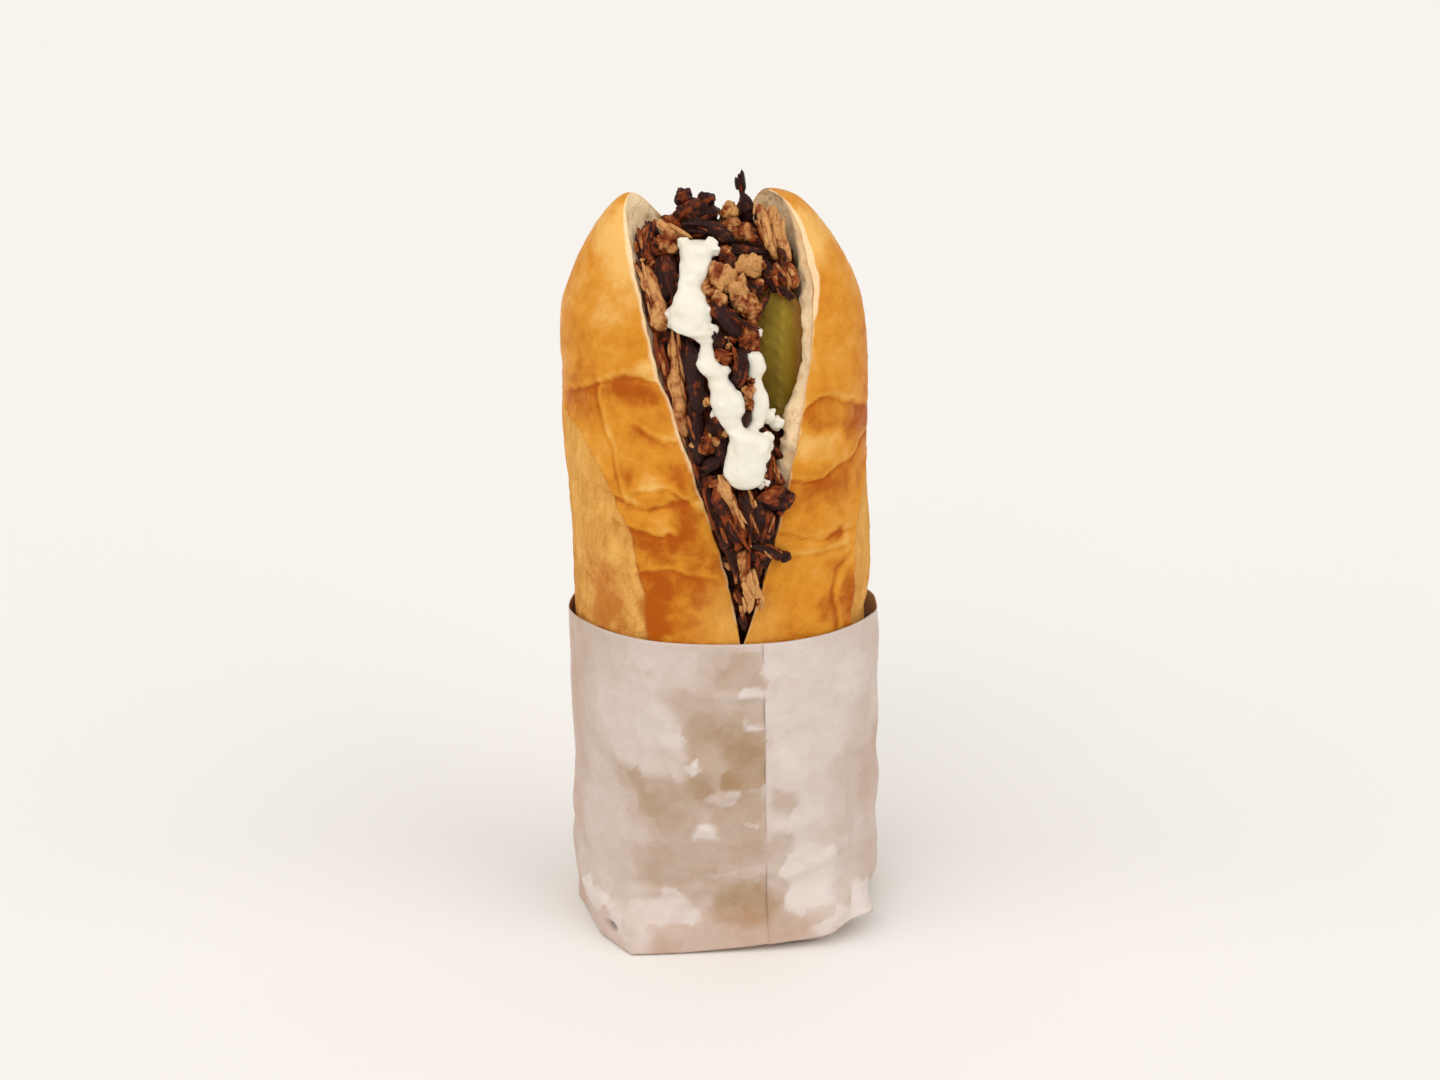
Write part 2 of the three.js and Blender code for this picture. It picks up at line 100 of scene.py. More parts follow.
RIGHT = SimpleNamespace(
    slant=0.0,
    fuller=1.2,
    tip_aside=0.0,
    burst_top=132,
    tip_up=1.9,
    side=1, turn=25.7, over=88.6, power=0.91, lean=3.3, lean_from=145.0, lean_power=3.2,
    narrowing=0.16, pinch=0.11, pinch_power=2.2,
)
SLANT_REACH = 17.0
SLEEVE = SimpleNamespace(
    rim=84.0, left=39.2, right=40.3, front=33.3, back=30.4,
    shift=1.2,  # the foot lies this far to the right of the rim
    fold_height=18.0,
    square_left=3.3, square_right=4.4, square_back=3.2,
    jut=3.4, flat=0.7, edge=0.3, lift_right=3.4,
)
HEAP = SimpleNamespace(bottom=24.0, top=178.0, brim=184.0, bulge=2.6)
GRID = SimpleNamespace(
    crust=150,  # columns from a half's lip round to its back
    face=64,  # columns from its lip to the hinge
    end=12,  # rows from the middle of its cut end out
    hidden=26, shown=140, tips=42,  # rows of the bread inside the paper, above it and near the tips
    sheet=350, wall=112, base=26,  # columns of the paper, and its rows down the wall and under the base
    gherkin=(90, 96),
    tube=48,  # columns round a run of sauce
    ball=(18, 24),
)
GHERKIN = SimpleNamespace(
    length=37.0, width=20.0, thickness=6.0, cup=1.0, centre=(13.8, -11.2, 152.5), turn=50.0, tilt=2.0
)


# -------------------------------------------------------------------------------------------------
# What a user would change
# -------------------------------------------------------------------------------------------------
def distance(name, description, millimetres):
    """A length in the sidebar, kept in metres."""
    return FloatProperty(
        name=name, description=description, default=millimetres * MM,
        unit="LENGTH", subtype="DISTANCE", precision=5,
    )


def share(name, description, default):
    """A number from 0 to 1 in the sidebar."""
    return FloatProperty(name=name, description=description, default=default, min=0, max=1, subtype="FACTOR")


def amount(name, description, default):
    """A whole number that the sidebar shows."""
    return IntProperty(name=name, description=description, default=default, min=0)


def colour(name, description, red, green, blue):
    """A display colour in the sidebar, given in steps of 1/255."""
    default = (red / 255, green / 255, blue / 255)
    return FloatVectorProperty(
        name=name, description=description, default=default, size=3, min=0, max=1, subtype="COLOR_GAMMA"
    )


class LoafSettings(bpy.types.PropertyGroup):
    """The bread's relief and colours."""

    dents: distance("Dents", "Depth of the crust's broad dents", 0.55)
    wrinkles: distance("Wrinkles", "Depth of the crust's fine wrinkles", 0.14)
    burst_relief: distance("Burst relief", "Roughness of the band where the crust burst in the oven", 0.3)
    crumb_relief: distance("Crumb relief", "Depth of the holes in the cut crumb", 0.9)
    pale: colour("Pale crust", "The least baked crust", 236, 182, 100)
    golden: colour("Golden crust", "Most of the crust", 216, 142, 40)
    toasted: colour("Toasted crust", "The darkest crust", 172, 82, 4)
    burst: colour("Burst crust", "The pale band where the crust burst", 208, 150, 71)
    crumb: colour("Crumb", "The cut inside of the bread", 255, 226, 184)


class PaperSettings(bpy.types.PropertyGroup):
    """The paper's folds and colours."""

    thickness: distance("Thickness", "Thickness of the sheet", 0.16)
    crumple: distance("Crumple", "Depth of the sheet's facets", 0.75)
    # Dry paper also colours the painted highlights along the folds.
    white: colour("Dry paper", "Paper that stands clear of the bread", 217, 203, 196)
    beige: colour("Greasy paper", "Paper that clings to the bread and shows it", 164, 132, 99)
    warm: colour("Warm paper", "The same towards the sides and the foot", 174, 126, 86)
    # The colour of the painted shade inside the foot's small opening.
    shade: colour("Inside a fold", "The small opening in the foot's left corner", 104, 88, 84)


class FillingSettings(bpy.types.PropertyGroup):
    """The filling's amounts and colours."""

    front_shreds: amount("Front shreds", "Loose shreds in the opening", 150)
    top_shreds: amount("Top shreds", "Loose shreds on top of the heap", 90)
    bits: amount("Bits", "Crumbs of meat over the front of the heap", 120)
    seed: amount("Seed", "Start of the random draws", 7)
    char: colour("Charred meat", "The meat's burnt edges", 46, 15, 9)
    brown: colour("Roast meat", "The meat's browned sides", 148, 62, 10)
    tan: colour("Meat", "The meat's pale cut sides", 226, 164, 98)
    flesh: colour("Gherkin flesh", "The gherkin's cut side", 255, 220, 92)
    # The skin colour also gives the painted shade over the right half of the gherkin's cut side.
    skin: colour("Gherkin skin", "The gherkin's rind", 122, 78, 0)
    sauce: colour("Garlic sauce", "The sauce", 232, 229, 214)


class StageSettings(bpy.types.PropertyGroup):
    """The camera, the lights and the floor."""

    camera_distance: distance("Camera distance", "From the camera to the middle of the sandwich", 800)
    target_height: distance("Target height", "Height at which the camera looks", 100)
    camera_height: FloatProperty(
        name="Camera elevation",
        description="Angle at which the camera looks down",
        default=math.radians(20),
        unit="ROTATION",
        subtype="ANGLE",
    )
    lens: FloatProperty(name="Lens", description="Focal length", default=78, unit="CAMERA")
    light: FloatProperty(name="Light", description="Strength of the main light", default=1.38, min=0)
    sky: share("Sky", "Strength of the light from all round", 0.57)
    floor: colour("Floor", "The plain floor", 236, 233, 228)


# -------------------------------------------------------------------------------------------------
# Arithmetic on whole arrays
# -------------------------------------------------------------------------------------------------
def clamp01(t):
    return np.clip(t, 0.0, 1.0)


def smooth(t):
    """3 t^2 - 2 t^3 between 0 and 1."""
    t = clamp01(t)
    return t * t * (3 - 2 * t)


def lerp(a, b, t):
    return a + (b - a) * t


def bump(t):
    """A rounded bump, 1 at 0 and 0 past -1 and 1: (1 - t^2)^2."""
    return np.clip(1 - t * t, 0, None) ** 2


def tent(t):
    """A sharp ridge, 1 at 0 and 0 past -1 and 1: 1 - |t|."""
    return np.clip(1 - np.abs(t), 0, None)


def signed_power(t, power):
    return np.sign(t) * np.abs(t) ** power


def stack(*axes):
    return np.stack(np.broadcast_arrays(*axes), axis=-1)


def wobble(x, y, z, wavelength, seed=0):
    """A repeatable unevenness between -1 and 1: the mean of three crossed sine waves."""
    k = 2 * math.pi / wavelength
    a = np.sin(k * (x + 0.61 * y) + seed * 1.7 + 1.3 * np.sin(k * 0.7 * z))
    b = np.sin(k * (0.83 * y - 0.37 * z) + seed * 2.9)
    c = np.sin(k * (0.9 * z + 0.45 * x) + seed * 4.1)
    return (a + b + c) / 3


def lattice(cells, seed):
    """A repeatable random number from -1 to 1 for each whole-numbered cell: its numbers times large primes,
    mixed by shifts. The products run over, which does no harm."""
    with np.errstate(over="ignore"):
        mixed = cells[..., 0] * 73856093 ^ cells[..., 1] * 19349663 ^ cells[..., 2] * 83492791
        mixed = mixed ^ (seed * 97 + 1) * 1234577
        mixed = (mixed ^ (mixed >> 13)) * 1274126177
        return ((mixed ^ (mixed >> 16)) & 0xFFFFFF) / 0x7FFFFF - 1


def cells_of(points, size):
    """Points in steps of a cell's size, and the whole number of the cell that each lies in."""
    scaled = points / size
    return scaled, np.floor(scaled).astype(np.int64)


def noise(points, size, seed=0):
    """Value noise from -1 to 1: the lattice's numbers, blended across each cell by 3t^2 - 2t^3."""
    scaled, cell = cells_of(points, size)
    ease = smooth(scaled - cell)
    total = np.zeros(points.shape[:-1])
    for corner in itertools.product((0, 1), repeat=3):
        weight = np.prod(np.where(np.array(corner, bool), ease, 1 - ease), axis=-1)
        total += weight * lattice(cell + np.array(corner), seed)
    return total


def noise_vector(points, size, seed):
    """Three value noises, one for each axis."""
    return stack(*(noise(points, size, seed + axis) for axis in range(3)))


def fractal(points, size, octaves=3, seed=0):
    """Value noise summed over octaves, each half as large and half as strong as the one before."""
    total = sum(noise(points, size / 2**n, seed + n) / 2**n for n in range(octaves))
    return total / (2 - 0.5 ** (octaves - 1))


def nearby_cells(points, size, astray, seed):
    """For each of the 27 cells about each point: its number, its middle, which lies astray at random, and
    how far that is from the point, all in steps of a cell's size."""
    scaled, cell = cells_of(points, size)
    for step in itertools.product((-1, 0, 1), repeat=3):
        near = cell + np.array(step)
        middle = near + 0.5 + astray * stack(*(lattice(near, seed + axis) for axis in range(3)))
        yield near, middle, np.linalg.norm(scaled - middle, axis=-1)


def holes(points, size, seed=0):
    """Round holes, 1 at a hole's middle and 0 outside: one of random width somewhere in each cell."""
    deepest = np.zeros(points.shape[:-1])
    for near, _, away in nearby_cells(points, size, 0.42, seed):
        radius = 0.34 + 0.26 * lattice(near, seed + 5)
        deepest = np.maximum(deepest, bump(np.minimum(away / radius, 1)))
    return deepest


def full_turn(count):
    """Angles all the way round, as one row."""
    return np.linspace(0, 2 * math.pi, count, endpoint=False)[None, :]


def half_turn_off(phi):
    """An angle within half a turn of the front."""
    return (phi + math.pi) % (2 * math.pi) - math.pi


def spot(x, z, middle_x, middle_z, reach_x, reach_z):
    """A round bump over a place, 1 at its middle and 0 past its reach."""
    return bump(np.minimum(1, np.hypot((x - middle_x) / reach_x, (z - middle_z) / reach_z)))


def turned(x, y, z):
    """The rotation by degrees about X, then Y, then Z, as a matrix."""
    (sx, sy, sz), (cx, cy, cz) = (f(np.radians([x, y, z])) for f in (np.sin, np.cos))
    about_x = np.array([[1, 0, 0], [0, cx, -sx], [0, sx, cx]])
    about_y = np.array([[cy, 0, sy], [0, 1, 0], [-sy, 0, cy]])
    about_z = np.array([[cz, -sz, 0], [sz, cz, 0], [0, 0, 1]])
    return about_z @ about_y @ about_x


def unit_ball(rows, columns):
    """A unit sphere's points, from pole to pole."""
    theta, phi = np.linspace(0, math.pi, rows)[:, None], full_turn(columns)
    return stack(np.sin(theta) * np.cos(phi), np.sin(theta) * np.sin(phi), np.cos(theta) * np.ones_like(phi))


def to_frame(points):
    """The maker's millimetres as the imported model's metres."""
    return (points - CENTRE) * MM


# -------------------------------------------------------------------------------------------------
# Meshes from grids of points
# -------------------------------------------------------------------------------------------------
def sheet(points, flip=False, closed=False, **values):
    """A grid of points, rows by columns. flip turns its faces over, closed joins its last column to its
    first, and values are numbers or vectors that its material reads at each point."""
    return SimpleNamespace(points=points, flip=flip, closed=closed, values=values)


def push(points, height, flip=False, closed=False):
    """Moves a grid's points along its own normals: p + h n, where n is the cross product of the steps to the
    next column and to the next row."""
    padded = np.concatenate([points[:, -1:], points, points[:, :1]], axis=1) if closed else points
    across = np.gradient(padded, axis=1)
    up = np.gradient(padded, axis=0)
    normal = np.cross(across, up)
    normal = normal[:, 1:-1] if closed else normal
    normal /= np.maximum(np.linalg.norm(normal, axis=-1, keepdims=True), 1e-9)
    return points + np.asarray(height)[..., None] * (-normal if flip else normal)


def quads_of(part, start):
    """The corner numbers of a grid's faces, its points being numbered from start."""
    rows, columns = part.points.shape[:2]
    index = start + np.arange(rows * columns).reshape(rows, columns)
    if part.closed:
        index = np.concatenate([index, index[:, :1]], axis=1)
    quads = stack(index[:-1, :-1], index[:-1, 1:], index[1:, 1:], index[1:, :-1]).reshape(-1, 4)
    return quads[:, ::-1] if part.flip else quads


def mesh_object(name, parts, material, weld=1e-3):
    """One object of several grids. Points nearer than weld are one, and a face whose corners fall together
    at a pole becomes a triangle or goes."""
    starts = np.cumsum([0] + [part.points[..., 0].size for part in parts])
    points = np.concatenate([part.points.reshape(-1, 3) for part in parts])
    quads = np.concatenate([quads_of(part, start) for part, start in zip(parts, starts)])
    keys = np.round(points / weld).astype(np.int64)
    _, first, owner = np.unique(keys, axis=0, return_index=True, return_inverse=True)
    quads = owner.reshape(-1)[quads]
    repeated = quads == np.roll(quads, -1, axis=1)
    whole = quads[~repeated.any(axis=1)]
    collapsed = repeated.sum(axis=1) == 1
    triangles = quads[collapsed][~repeated[collapsed]].reshape(-1, 3)

    mesh = bpy.data.meshes.new(name)
    corners = np.concatenate([whole.ravel(), triangles.ravel()])
    sizes = np.concatenate([np.full(len(whole), 4), np.full(len(triangles), 3)])
    mesh.vertices.add(len(first))
    mesh.vertices.foreach_set("co", to_frame(points[first]).ravel().astype(np.float32))
    mesh.loops.add(len(corners))
    mesh.loops.foreach_set("vertex_index", corners.astype(np.int32))
    mesh.polygons.add(len(sizes))
    mesh.polygons.foreach_set("loop_start", (np.cumsum(sizes) - sizes).astype(np.int32))
    mesh.polygons.foreach_set("use_smooth", np.ones(len(sizes), bool))
    for key in parts[0].values:
        flat = [np.broadcast_to(part.values[key], value_shape(part, key)) for part in parts]
        vector = flat[0].ndim == 3
        kept = np.concatenate([value.reshape(-1, 3) if vector else value.ravel() for value in flat])[first]
        layer = mesh.attributes.new(key, "FLOAT_VECTOR" if vector else "FLOAT", "POINT")
        layer.data.foreach_set("vector" if vector else "value", kept.ravel().astype(np.float32))
    mesh.update(calc_edges=True)
    mesh.validate()
    mesh.materials.append(material)
    piece = bpy.data.objects.new(name, mesh)
    bpy.context.scene.collection.objects.link(piece)
    return piece


def value_shape(part, key):
    """The full shape of a grid's named value: rows by columns, by three for a vector."""
    value = np.asarray(part.values[key])
    vector = value.ndim == 3 and value.shape[-1] == 3
    return part.points.shape[:2] + (3,) * vector


def hand_over(piece, slot, *nodes):
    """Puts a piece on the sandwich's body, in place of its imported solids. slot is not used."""
    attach(piece, BODY)
    if nodes:
        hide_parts(*nodes)


# -------------------------------------------------------------------------------------------------
# The bread's surface
# -------------------------------------------------------------------------------------------------
def taper(z):
    """The roll's section at a height, as a share of its full one: sqrt(1 - t^p), with t from 0 where the
    taper starts to 1 at the top."""
    t = clamp01((z - ROLL.taper_start) / (ROLL.top - ROLL.taper_start))
    return np.sqrt(np.maximum(0, 1 - t**ROLL.taper_power))


def end_inset(z):
    """How far the rounded edge of the cut end draws the section in: R - sqrt(R^2 - (R - h)^2)."""
    up = np.minimum(ROLL.end_radius, z - ROLL.bottom)
    return ROLL.end_radius - np.sqrt(ROLL.end_radius**2 - (ROLL.end_radius - up) ** 2)


def foot_shift(z):
    return SLEEVE.shift * np.maximum(0, 1 - z / SLEEVE.rim)


def slit_at(z):
    return SLIT.offset * taper(z)


def roundness(phi):
    return np.where(np.cos(phi) > 0, ROLL.front_roundness, ROLL.back_roundness)


def unit_section(phi, exponent):
    """A superellipse at an angle from the front towards the left: (-s |sin|^(2/n), -c |cos|^(2/n))."""
    return -signed_power(np.sin(phi), 2 / exponent), -signed_power(np.cos(phi), 2 / exponent)


def crust_point(phi, z, slant=0.0):
    """The unopened roll's crust: the unit section times width or depth, tapered, inset and made uneven. The
    back slants forward towards the tips."""
    x, y = unit_section(phi, roundness(phi))
    slanted = 1 - slant * smooth((z - SLIT.splits) / SLANT_REACH)
    depth = np.where(y < 0, ROLL.front, ROLL.back * slanted)
    uneven = 1 + 0.012 * wobble(x * 30, y * 30, z, 46, 3)
    across = ROLL.half_width * taper(z) - end_inset(z)
    return x * across * uneven, y * (depth * taper(z) - end_inset(z)) * uneven


def tip_shift(half, z):
    """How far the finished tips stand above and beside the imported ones."""
    return stack(half.tip_aside * smooth((z - 158) / 24), 0 * z, half.tip_up * smooth((z - 172) / 17))


def open_out(half, x, y, z):
    """Turns a point of the unopened roll about the hinge line by an angle that grows with height, and leans
    and pinches its tip. Near the hinge line the bread stays, unless the halves are apart there."""
    angle = np.radians(half.turn) * clamp01((z - SLIT.opens_at) / half.over) ** half.power
    tip = clamp01((z - half.lean_from) / (ROLL.top - half.lean_from))
    width = 1 - half.narrowing * smooth((z - SLEEVE.rim) / 50) - half.pinch * tip**half.pinch_power
    dx = (x - slit_at(z)) * width
    dy = y - SLIT.hinge
    near = smooth(np.where(dy > 0, np.abs(dx), np.hypot(dx, dy)) / SLIT.hinge_reach)
    reach = lerp(near, 1, smooth((z - SLIT.splits) / SLIT.split_over))
    turn = -half.side * angle * reach
    lean = half.side * half.lean * tip**half.lean_power * reach
    opened_x = slit_at(z) + dx * np.cos(turn) + dy * np.sin(turn) + lean + foot_shift(z)
    opened = stack(opened_x, SLIT.hinge - dx * np.sin(turn) + dy * np.cos(turn), z)
    return opened + tip_shift(half, opened[..., 2])


def lip_gap(z):
    return SLIT.lip_gap * clamp01((z - SLIT.bottom) / 4) * clamp01(4 * taper(z))


def hollow_at(across, z):
    """Half the slit's width in the unopened roll, from the lip at 0 to the hinge at 1."""
    ends = smooth((z - SLIT.bottom) / 18) * taper(z)
    return lip_gap(z) * (1 - across) + SLIT.hollow * ends * np.sin(math.pi * clamp01(across)) ** 0.8


# The front and back angles at which the slit meets the crust.
SLIT_SHARE = SLIT.offset / ROLL.half_width
FRONT_PHI = -math.asin(SLIT_SHARE ** (ROLL.front_roundness / 2))
BACK_PHI = math.pi + math.asin(SLIT_SHARE ** (ROLL.back_roundness / 2))

CRUST_ROUND = 110  # the way round a half's crust, from its lip to the middle of the back
FACE_DEPTH = 48  # the way from the lip to the hinge
RAGGED_FADE = 1.6  # how soon a torn lip's unevenness dies away from it
COARSE_BELOW = 78  # the paper hides the bread up to a little over this height

# How far the torn crumb swells out of each cut face just behind its lip, as (height, mm).
TORN_EDGES = {
    -1: [(88, 0.0), (100, 0.6), (160, 1.1), (175, 0.8), (186, 0.2)],
    1: [
        (88, 0.0), (100, 1.0), (118, 2.8), (128, 4.6), (140, 5.2),
        (148, 2.8), (154, 1.6), (164, 3.4), (187, 0.8),
    ],
}


def torn_edge(half, across, z):
    """The swelling of crumb behind the lip: it rises over the first tenth of the face and falls back."""
    heights, swellings = zip(*TORN_EDGES[half.side])
    ridge = smooth(across / 0.10) * (1 - smooth((across - 0.11) / 0.16))
    tufts = 1 + 0.5 * fractal(stack(across * 40, 0 * z + 5 * half.side, z), 3.4, 3, 19)
    return np.interp(z, heights, swellings) * ridge * tufts


def parted(z):
    """A hair's breadth between the halves' backs from where they come apart."""
    return 0.06 * clamp01((z - SLIT.splits) / 0.5)


def ragged(half, z):
    """How far the torn lip strays from its line at a height: noise at two scales."""
    along = stack(0 * z + 13.7 * half.side, 0 * z, z)
    strays = 0.38 * noise(along, 3.1, 16) + 0.3 * noise(along, 1.3, 17)
    return strays * smooth((z - 90) / 12) * clamp01(4 * taper(z))


def face_point(half, across, z, hollow):
    """The unopened cut face: hollow mm off the slit plane, from the lip's depth to the hinge's."""
    lip_y = crust_point(FRONT_PHI, z)[1]
    back_y = np.where(z < SLIT.thins_out, SLIT.hinge, crust_point(BACK_PHI, z, half.slant)[1])
    edge = ragged(half, z) * np.exp(-across * FACE_DEPTH / RAGGED_FADE)
    return slit_at(z) + half.side * (hollow + edge + parted(z) * across), lerp(lip_y, back_y, across)


def half_crust_point(half, u, z):
    """A half's crust, from the lip at u 0 round to the middle of the back at u 1."""
    end = BACK_PHI if half.side < 0 else BACK_PHI - 2 * math.pi
    x, y = crust_point(lerp(FRONT_PHI, end, u), z, half.slant)
    x = np.where((u == 0) | (u == 1), slit_at(z), x)
    edge = half.side * ragged(half, z) * np.exp(-u * CRUST_ROUND / RAGGED_FADE)
    return x + edge + half.side * (lip_gap(z) * np.maximum(0, 1 - 10 * u) + parted(z) * (u == 1)), y


def loaf_heights():
    """The rows' heights: coarse inside the paper, fine above it, one row where the slit comes through the
    back, and closer and closer up to the tips."""
    end = lerp(ROLL.bottom, SLIT.bottom, np.linspace(0, 1, 5)[:-1] ** 1.6)
    inside = np.linspace(SLIT.bottom, COARSE_BELOW, GRID.hidden)[:-1]
    shown = np.linspace(COARSE_BELOW, SLIT.thins_out - 0.05, GRID.shown)
    joint = [SLIT.thins_out + 0.5]
    tips = lerp(SLIT.splits + 0.3, ROLL.top, np.sin(np.linspace(0, math.pi / 2, GRID.tips)))
    return np.concatenate([end, inside, shown, joint, tips])


# Creases pressed into the crust, each along a bent line as three places (x, z) on the front of the opened
# bread, with the depth of the fold, its reach, and how much painted shade darkens the crust below it
# (painted light makes it paler if below 0).
CREASES = [
    (LEFT, ((-38, 142), (-26, 149), (-14, 149)), 0.60, 2.4, 0.27),
    (LEFT, ((-30, 120.5), (-17, 118.5), (-4, 123)), 0.80, 2.6, 0.16),
    (LEFT, ((-20, 121.5), (-14, 123), (-9, 121)), 0.45, 2.2, 0.0),
    (LEFT, ((-25, 113.5), (-20, 112.2), (-13, 111.5)), 0.45, 1.8, 0.20),
    (LEFT, ((-21, 100), (-13, 102), (-4, 101.5)), 0.30, 2.0, 0.10),
    (LEFT, ((-31, 147), (-28, 133), (-25, 121)), 0.25, 2.4, 0.0),
    (LEFT, ((-20, 137), (-14, 135), (-9, 136)), 0.25, 2.0, 0.12),
    (RIGHT, ((20, 142.5), (28, 144.5), (38, 136)), 0.50, 2.4, 0.26),
    (RIGHT, ((16, 126.5), (28, 126), (37, 133)), 0.55, 2.6, 0.22),
    (RIGHT, ((13, 112.5), (21, 110.5), (31, 109.5)), 0.45, 2.4, -0.10),
    (RIGHT, ((12, 107), (20, 106), (30, 106)), 0.30, 2.0, -0.06),
    (RIGHT, ((30, 101), (28, 95), (29, 86)), 0.30, 1.8, 0.16),
]

# The edge of the band where each half's crust burst in the oven, from the top down, as (x, z) on the front.
BURST_EDGES = {
    -1: [
        (-42, 146), (-39, 137), (-35, 134), (-31, 128), (-27, 121),
        (-25, 116), (-22, 110), (-19, 94), (-15, 60),
    ],
    1: [(42, 140), (39, 132), (36.5, 126), (35, 118), (34, 110), (33.5, 100), (33, 90), (32, 60)],
}

# A patch below the slit's foot, greyer and rougher like the burst band, as (x, z, reach across, reach up).
GREYER_PATCH = (4, 89, 15, 16)

# Patches of the front baked darker (above 0) or paler (below 0), as (x, z, reach across, reach up, amount);
# the pale patch on the left tip is a painted highlight.
TOASTING_AND_HIGHLIGHT = [
    (-22, 146, 8, 4, 0.42),
    (-33, 140, 7, 7, 0.18),
    (-17, 137, 6, 5, 0.10),
    (-23, 125, 5, 4, 0.22),
    (-9, 126, 6, 4, 0.28),
    (-9, 117, 4, 9, 0.40),
    (-30, 90, 6, 10, 0.38),
    (-15, 120, 6, 2.4, 0.28),
    (-5, 120.5, 4, 2.4, -0.55),
    (-17, 123, 4, 2, -0.25),
    (-15, 116, 8, 3, -0.22),
    (-19, 109, 5, 4, 0.14),
    (-13, 108, 4, 5, 0.08),
    (-16, 95, 6, 7, 0.22),
    (-17, 90, 4, 5, 0.20),
    (1, 89, 5, 8, -0.18),
    (-6, 107, 3, 16, 0.14),
    (-18, 152, 3, 2.2, -0.28),
    # Painted highlight: the left tip paler where the light falls on it.
    (-22, 182, 9, 9, -0.72),
    (-24, 172, 8, 9, -0.16),
    (-32, 168, 5, 12, 0.04),
    (-24, 157, 7, 6, 0.06),
    (-34, 155, 4, 12, 0.12),
    (24, 139, 5, 4, 0.18),
    (33, 137, 5, 6, 0.30),
    (24, 133, 8, 5, -0.34),
    (28, 121, 7, 7, 0.24),
    (28, 110, 2, 2.4, 0.55),
    (31, 92, 2.4, 8, 0.30),
    (27, 92, 2, 5, 0.26),
    (11, 88, 6, 6, -0.10),
    (20, 99, 9, 5, -0.10),
    (22, 183, 8, 7, -0.42),
    (35, 156, 4, 16, 0.16),
    (28, 162, 6, 12, 0.06),
    (26, 150, 6, 5, 0.05),
]


def off_curve(bend, x, z):
    """How far each place (x, z) lies above a bent line, and how far past its ends: from the nearest of the
    line's points, the parts of the way there across and along it."""
    t = np.linspace(0, 1, 25)
    curve = through([(*place, 0) for place in bend], t)
    along = np.gradient(curve, axis=0)
    along /= np.linalg.norm(along, axis=1, keepdims=True)
    away_x = x[..., None] - curve[:, 0]
    away_z = z[..., None] - curve[:, 1]
    nearest = np.argmin(away_x**2 + away_z**2, axis=-1)
    away_x, away_z = (np.take_along_axis(a, nearest[..., None], -1)[..., 0] for a in (away_x, away_z))
    heading_x, heading_z = along[nearest, 0], along[nearest, 1]
    return heading_x * away_z - heading_z * away_x, np.abs(heading_x * away_x + heading_z * away_z)


def crease_relief(half, points):
    """The creases of a half, as their height and their painted shade. Each is a sharp groove, 1 - |d| / w,
    under a swelling and over a lower one, along a line that wanders with noise. The painted shade darkens
    the crust below each crease and along its groove, and a painted highlight lightens it just above."""
    x = points[..., 0] + 0.9 * noise(points, 5.5, 21)
    z = points[..., 2] + 0.9 * noise(points, 4.2, 22) + 0.35 * noise(points, 1.6, 23)
    height, shade = np.zeros_like(x), np.zeros_like(x)
    for owner, bend, deep, reach, darker in CREASES:
        if owner is half:
            above, past = off_curve(bend, x, z)
            fade = bump(np.minimum(1, past / 4)) * smooth((1 - points[..., 1]) / 13)
            groove = 0.55 * bump((above - 1.1 * reach) / (1.5 * reach))
            groove = groove + 0.2 * bump((above + reach) / (1.3 * reach))
            height += deep * fade * (groove - tent(above / (0.42 * reach)) ** 1.5)
            # Painted shade below the crease and along its groove, and a painted highlight just above it.
            below = smooth(0.5 - above / 0.9) * np.exp(np.minimum(0, above) / 5.5)
            shade += darker * fade * below
            shade += 0.22 * fade * tent(above / 0.8) - 0.16 * fade * bump((above - 1.0) / 1.2)
    return height, shade


def past_burst(half, points):
    """How far a point of the crust lies past the burst band's front edge, in mm round the bread: the length
    of the row up to the point, less its length up to where it crosses the edge."""
    x, z = points[..., 0], points[..., 2]
    steps = np.linalg.norm(np.diff(points, axis=1), axis=-1)
    round_to = np.concatenate([np.zeros((len(x), 1)), np.cumsum(steps, 1)], 1)
    edge_x, edge_z = np.array(BURST_EDGES[half.side], float).T
    edge = np.interp(z[:, 0], edge_z[::-1], edge_x[::-1])
    outward = np.maximum.accumulate(half.side * x, axis=1)
    crossed = np.minimum(np.argmax(outward >= half.side * edge[:, None], axis=1), x.shape[1] - 1)
    crossed = np.where(outward[:, -1] < half.side * edge, x.shape[1] // 3, np.maximum(crossed, 1))[:, None]
    before, after = (np.take_along_axis(half.side * x, crossed - n, 1) for n in (1, 0))
    part = clamp01((half.side * edge[:, None] - before) / np.maximum(after - before, 1e-6))
    before, after = (np.take_along_axis(round_to, column, 1) for column in (crossed - 1, crossed))
    length = lerp(before, after, part)
    return round_to - length + 1.3 * fractal(points, 8, 3, 31)


def burst_share(half, points):
    """How far a point of the crust lies in the burst band, from 0 to 1, and the way past its front edge. The
    band is as wide as half the side, and closes towards its top."""
    past = past_burst(half, points)
    z = points[..., 2]
    width = 34 * smooth((half.burst_top + 4 - z) / 40) + 1
    wandering = 2.5 * fractal(points, 11, 3, 33)
    inside = smooth(past / 1.2 + 0.5) * smooth((width + wandering - past) / 3)
    return inside * smooth((half.burst_top - z) / 12), past


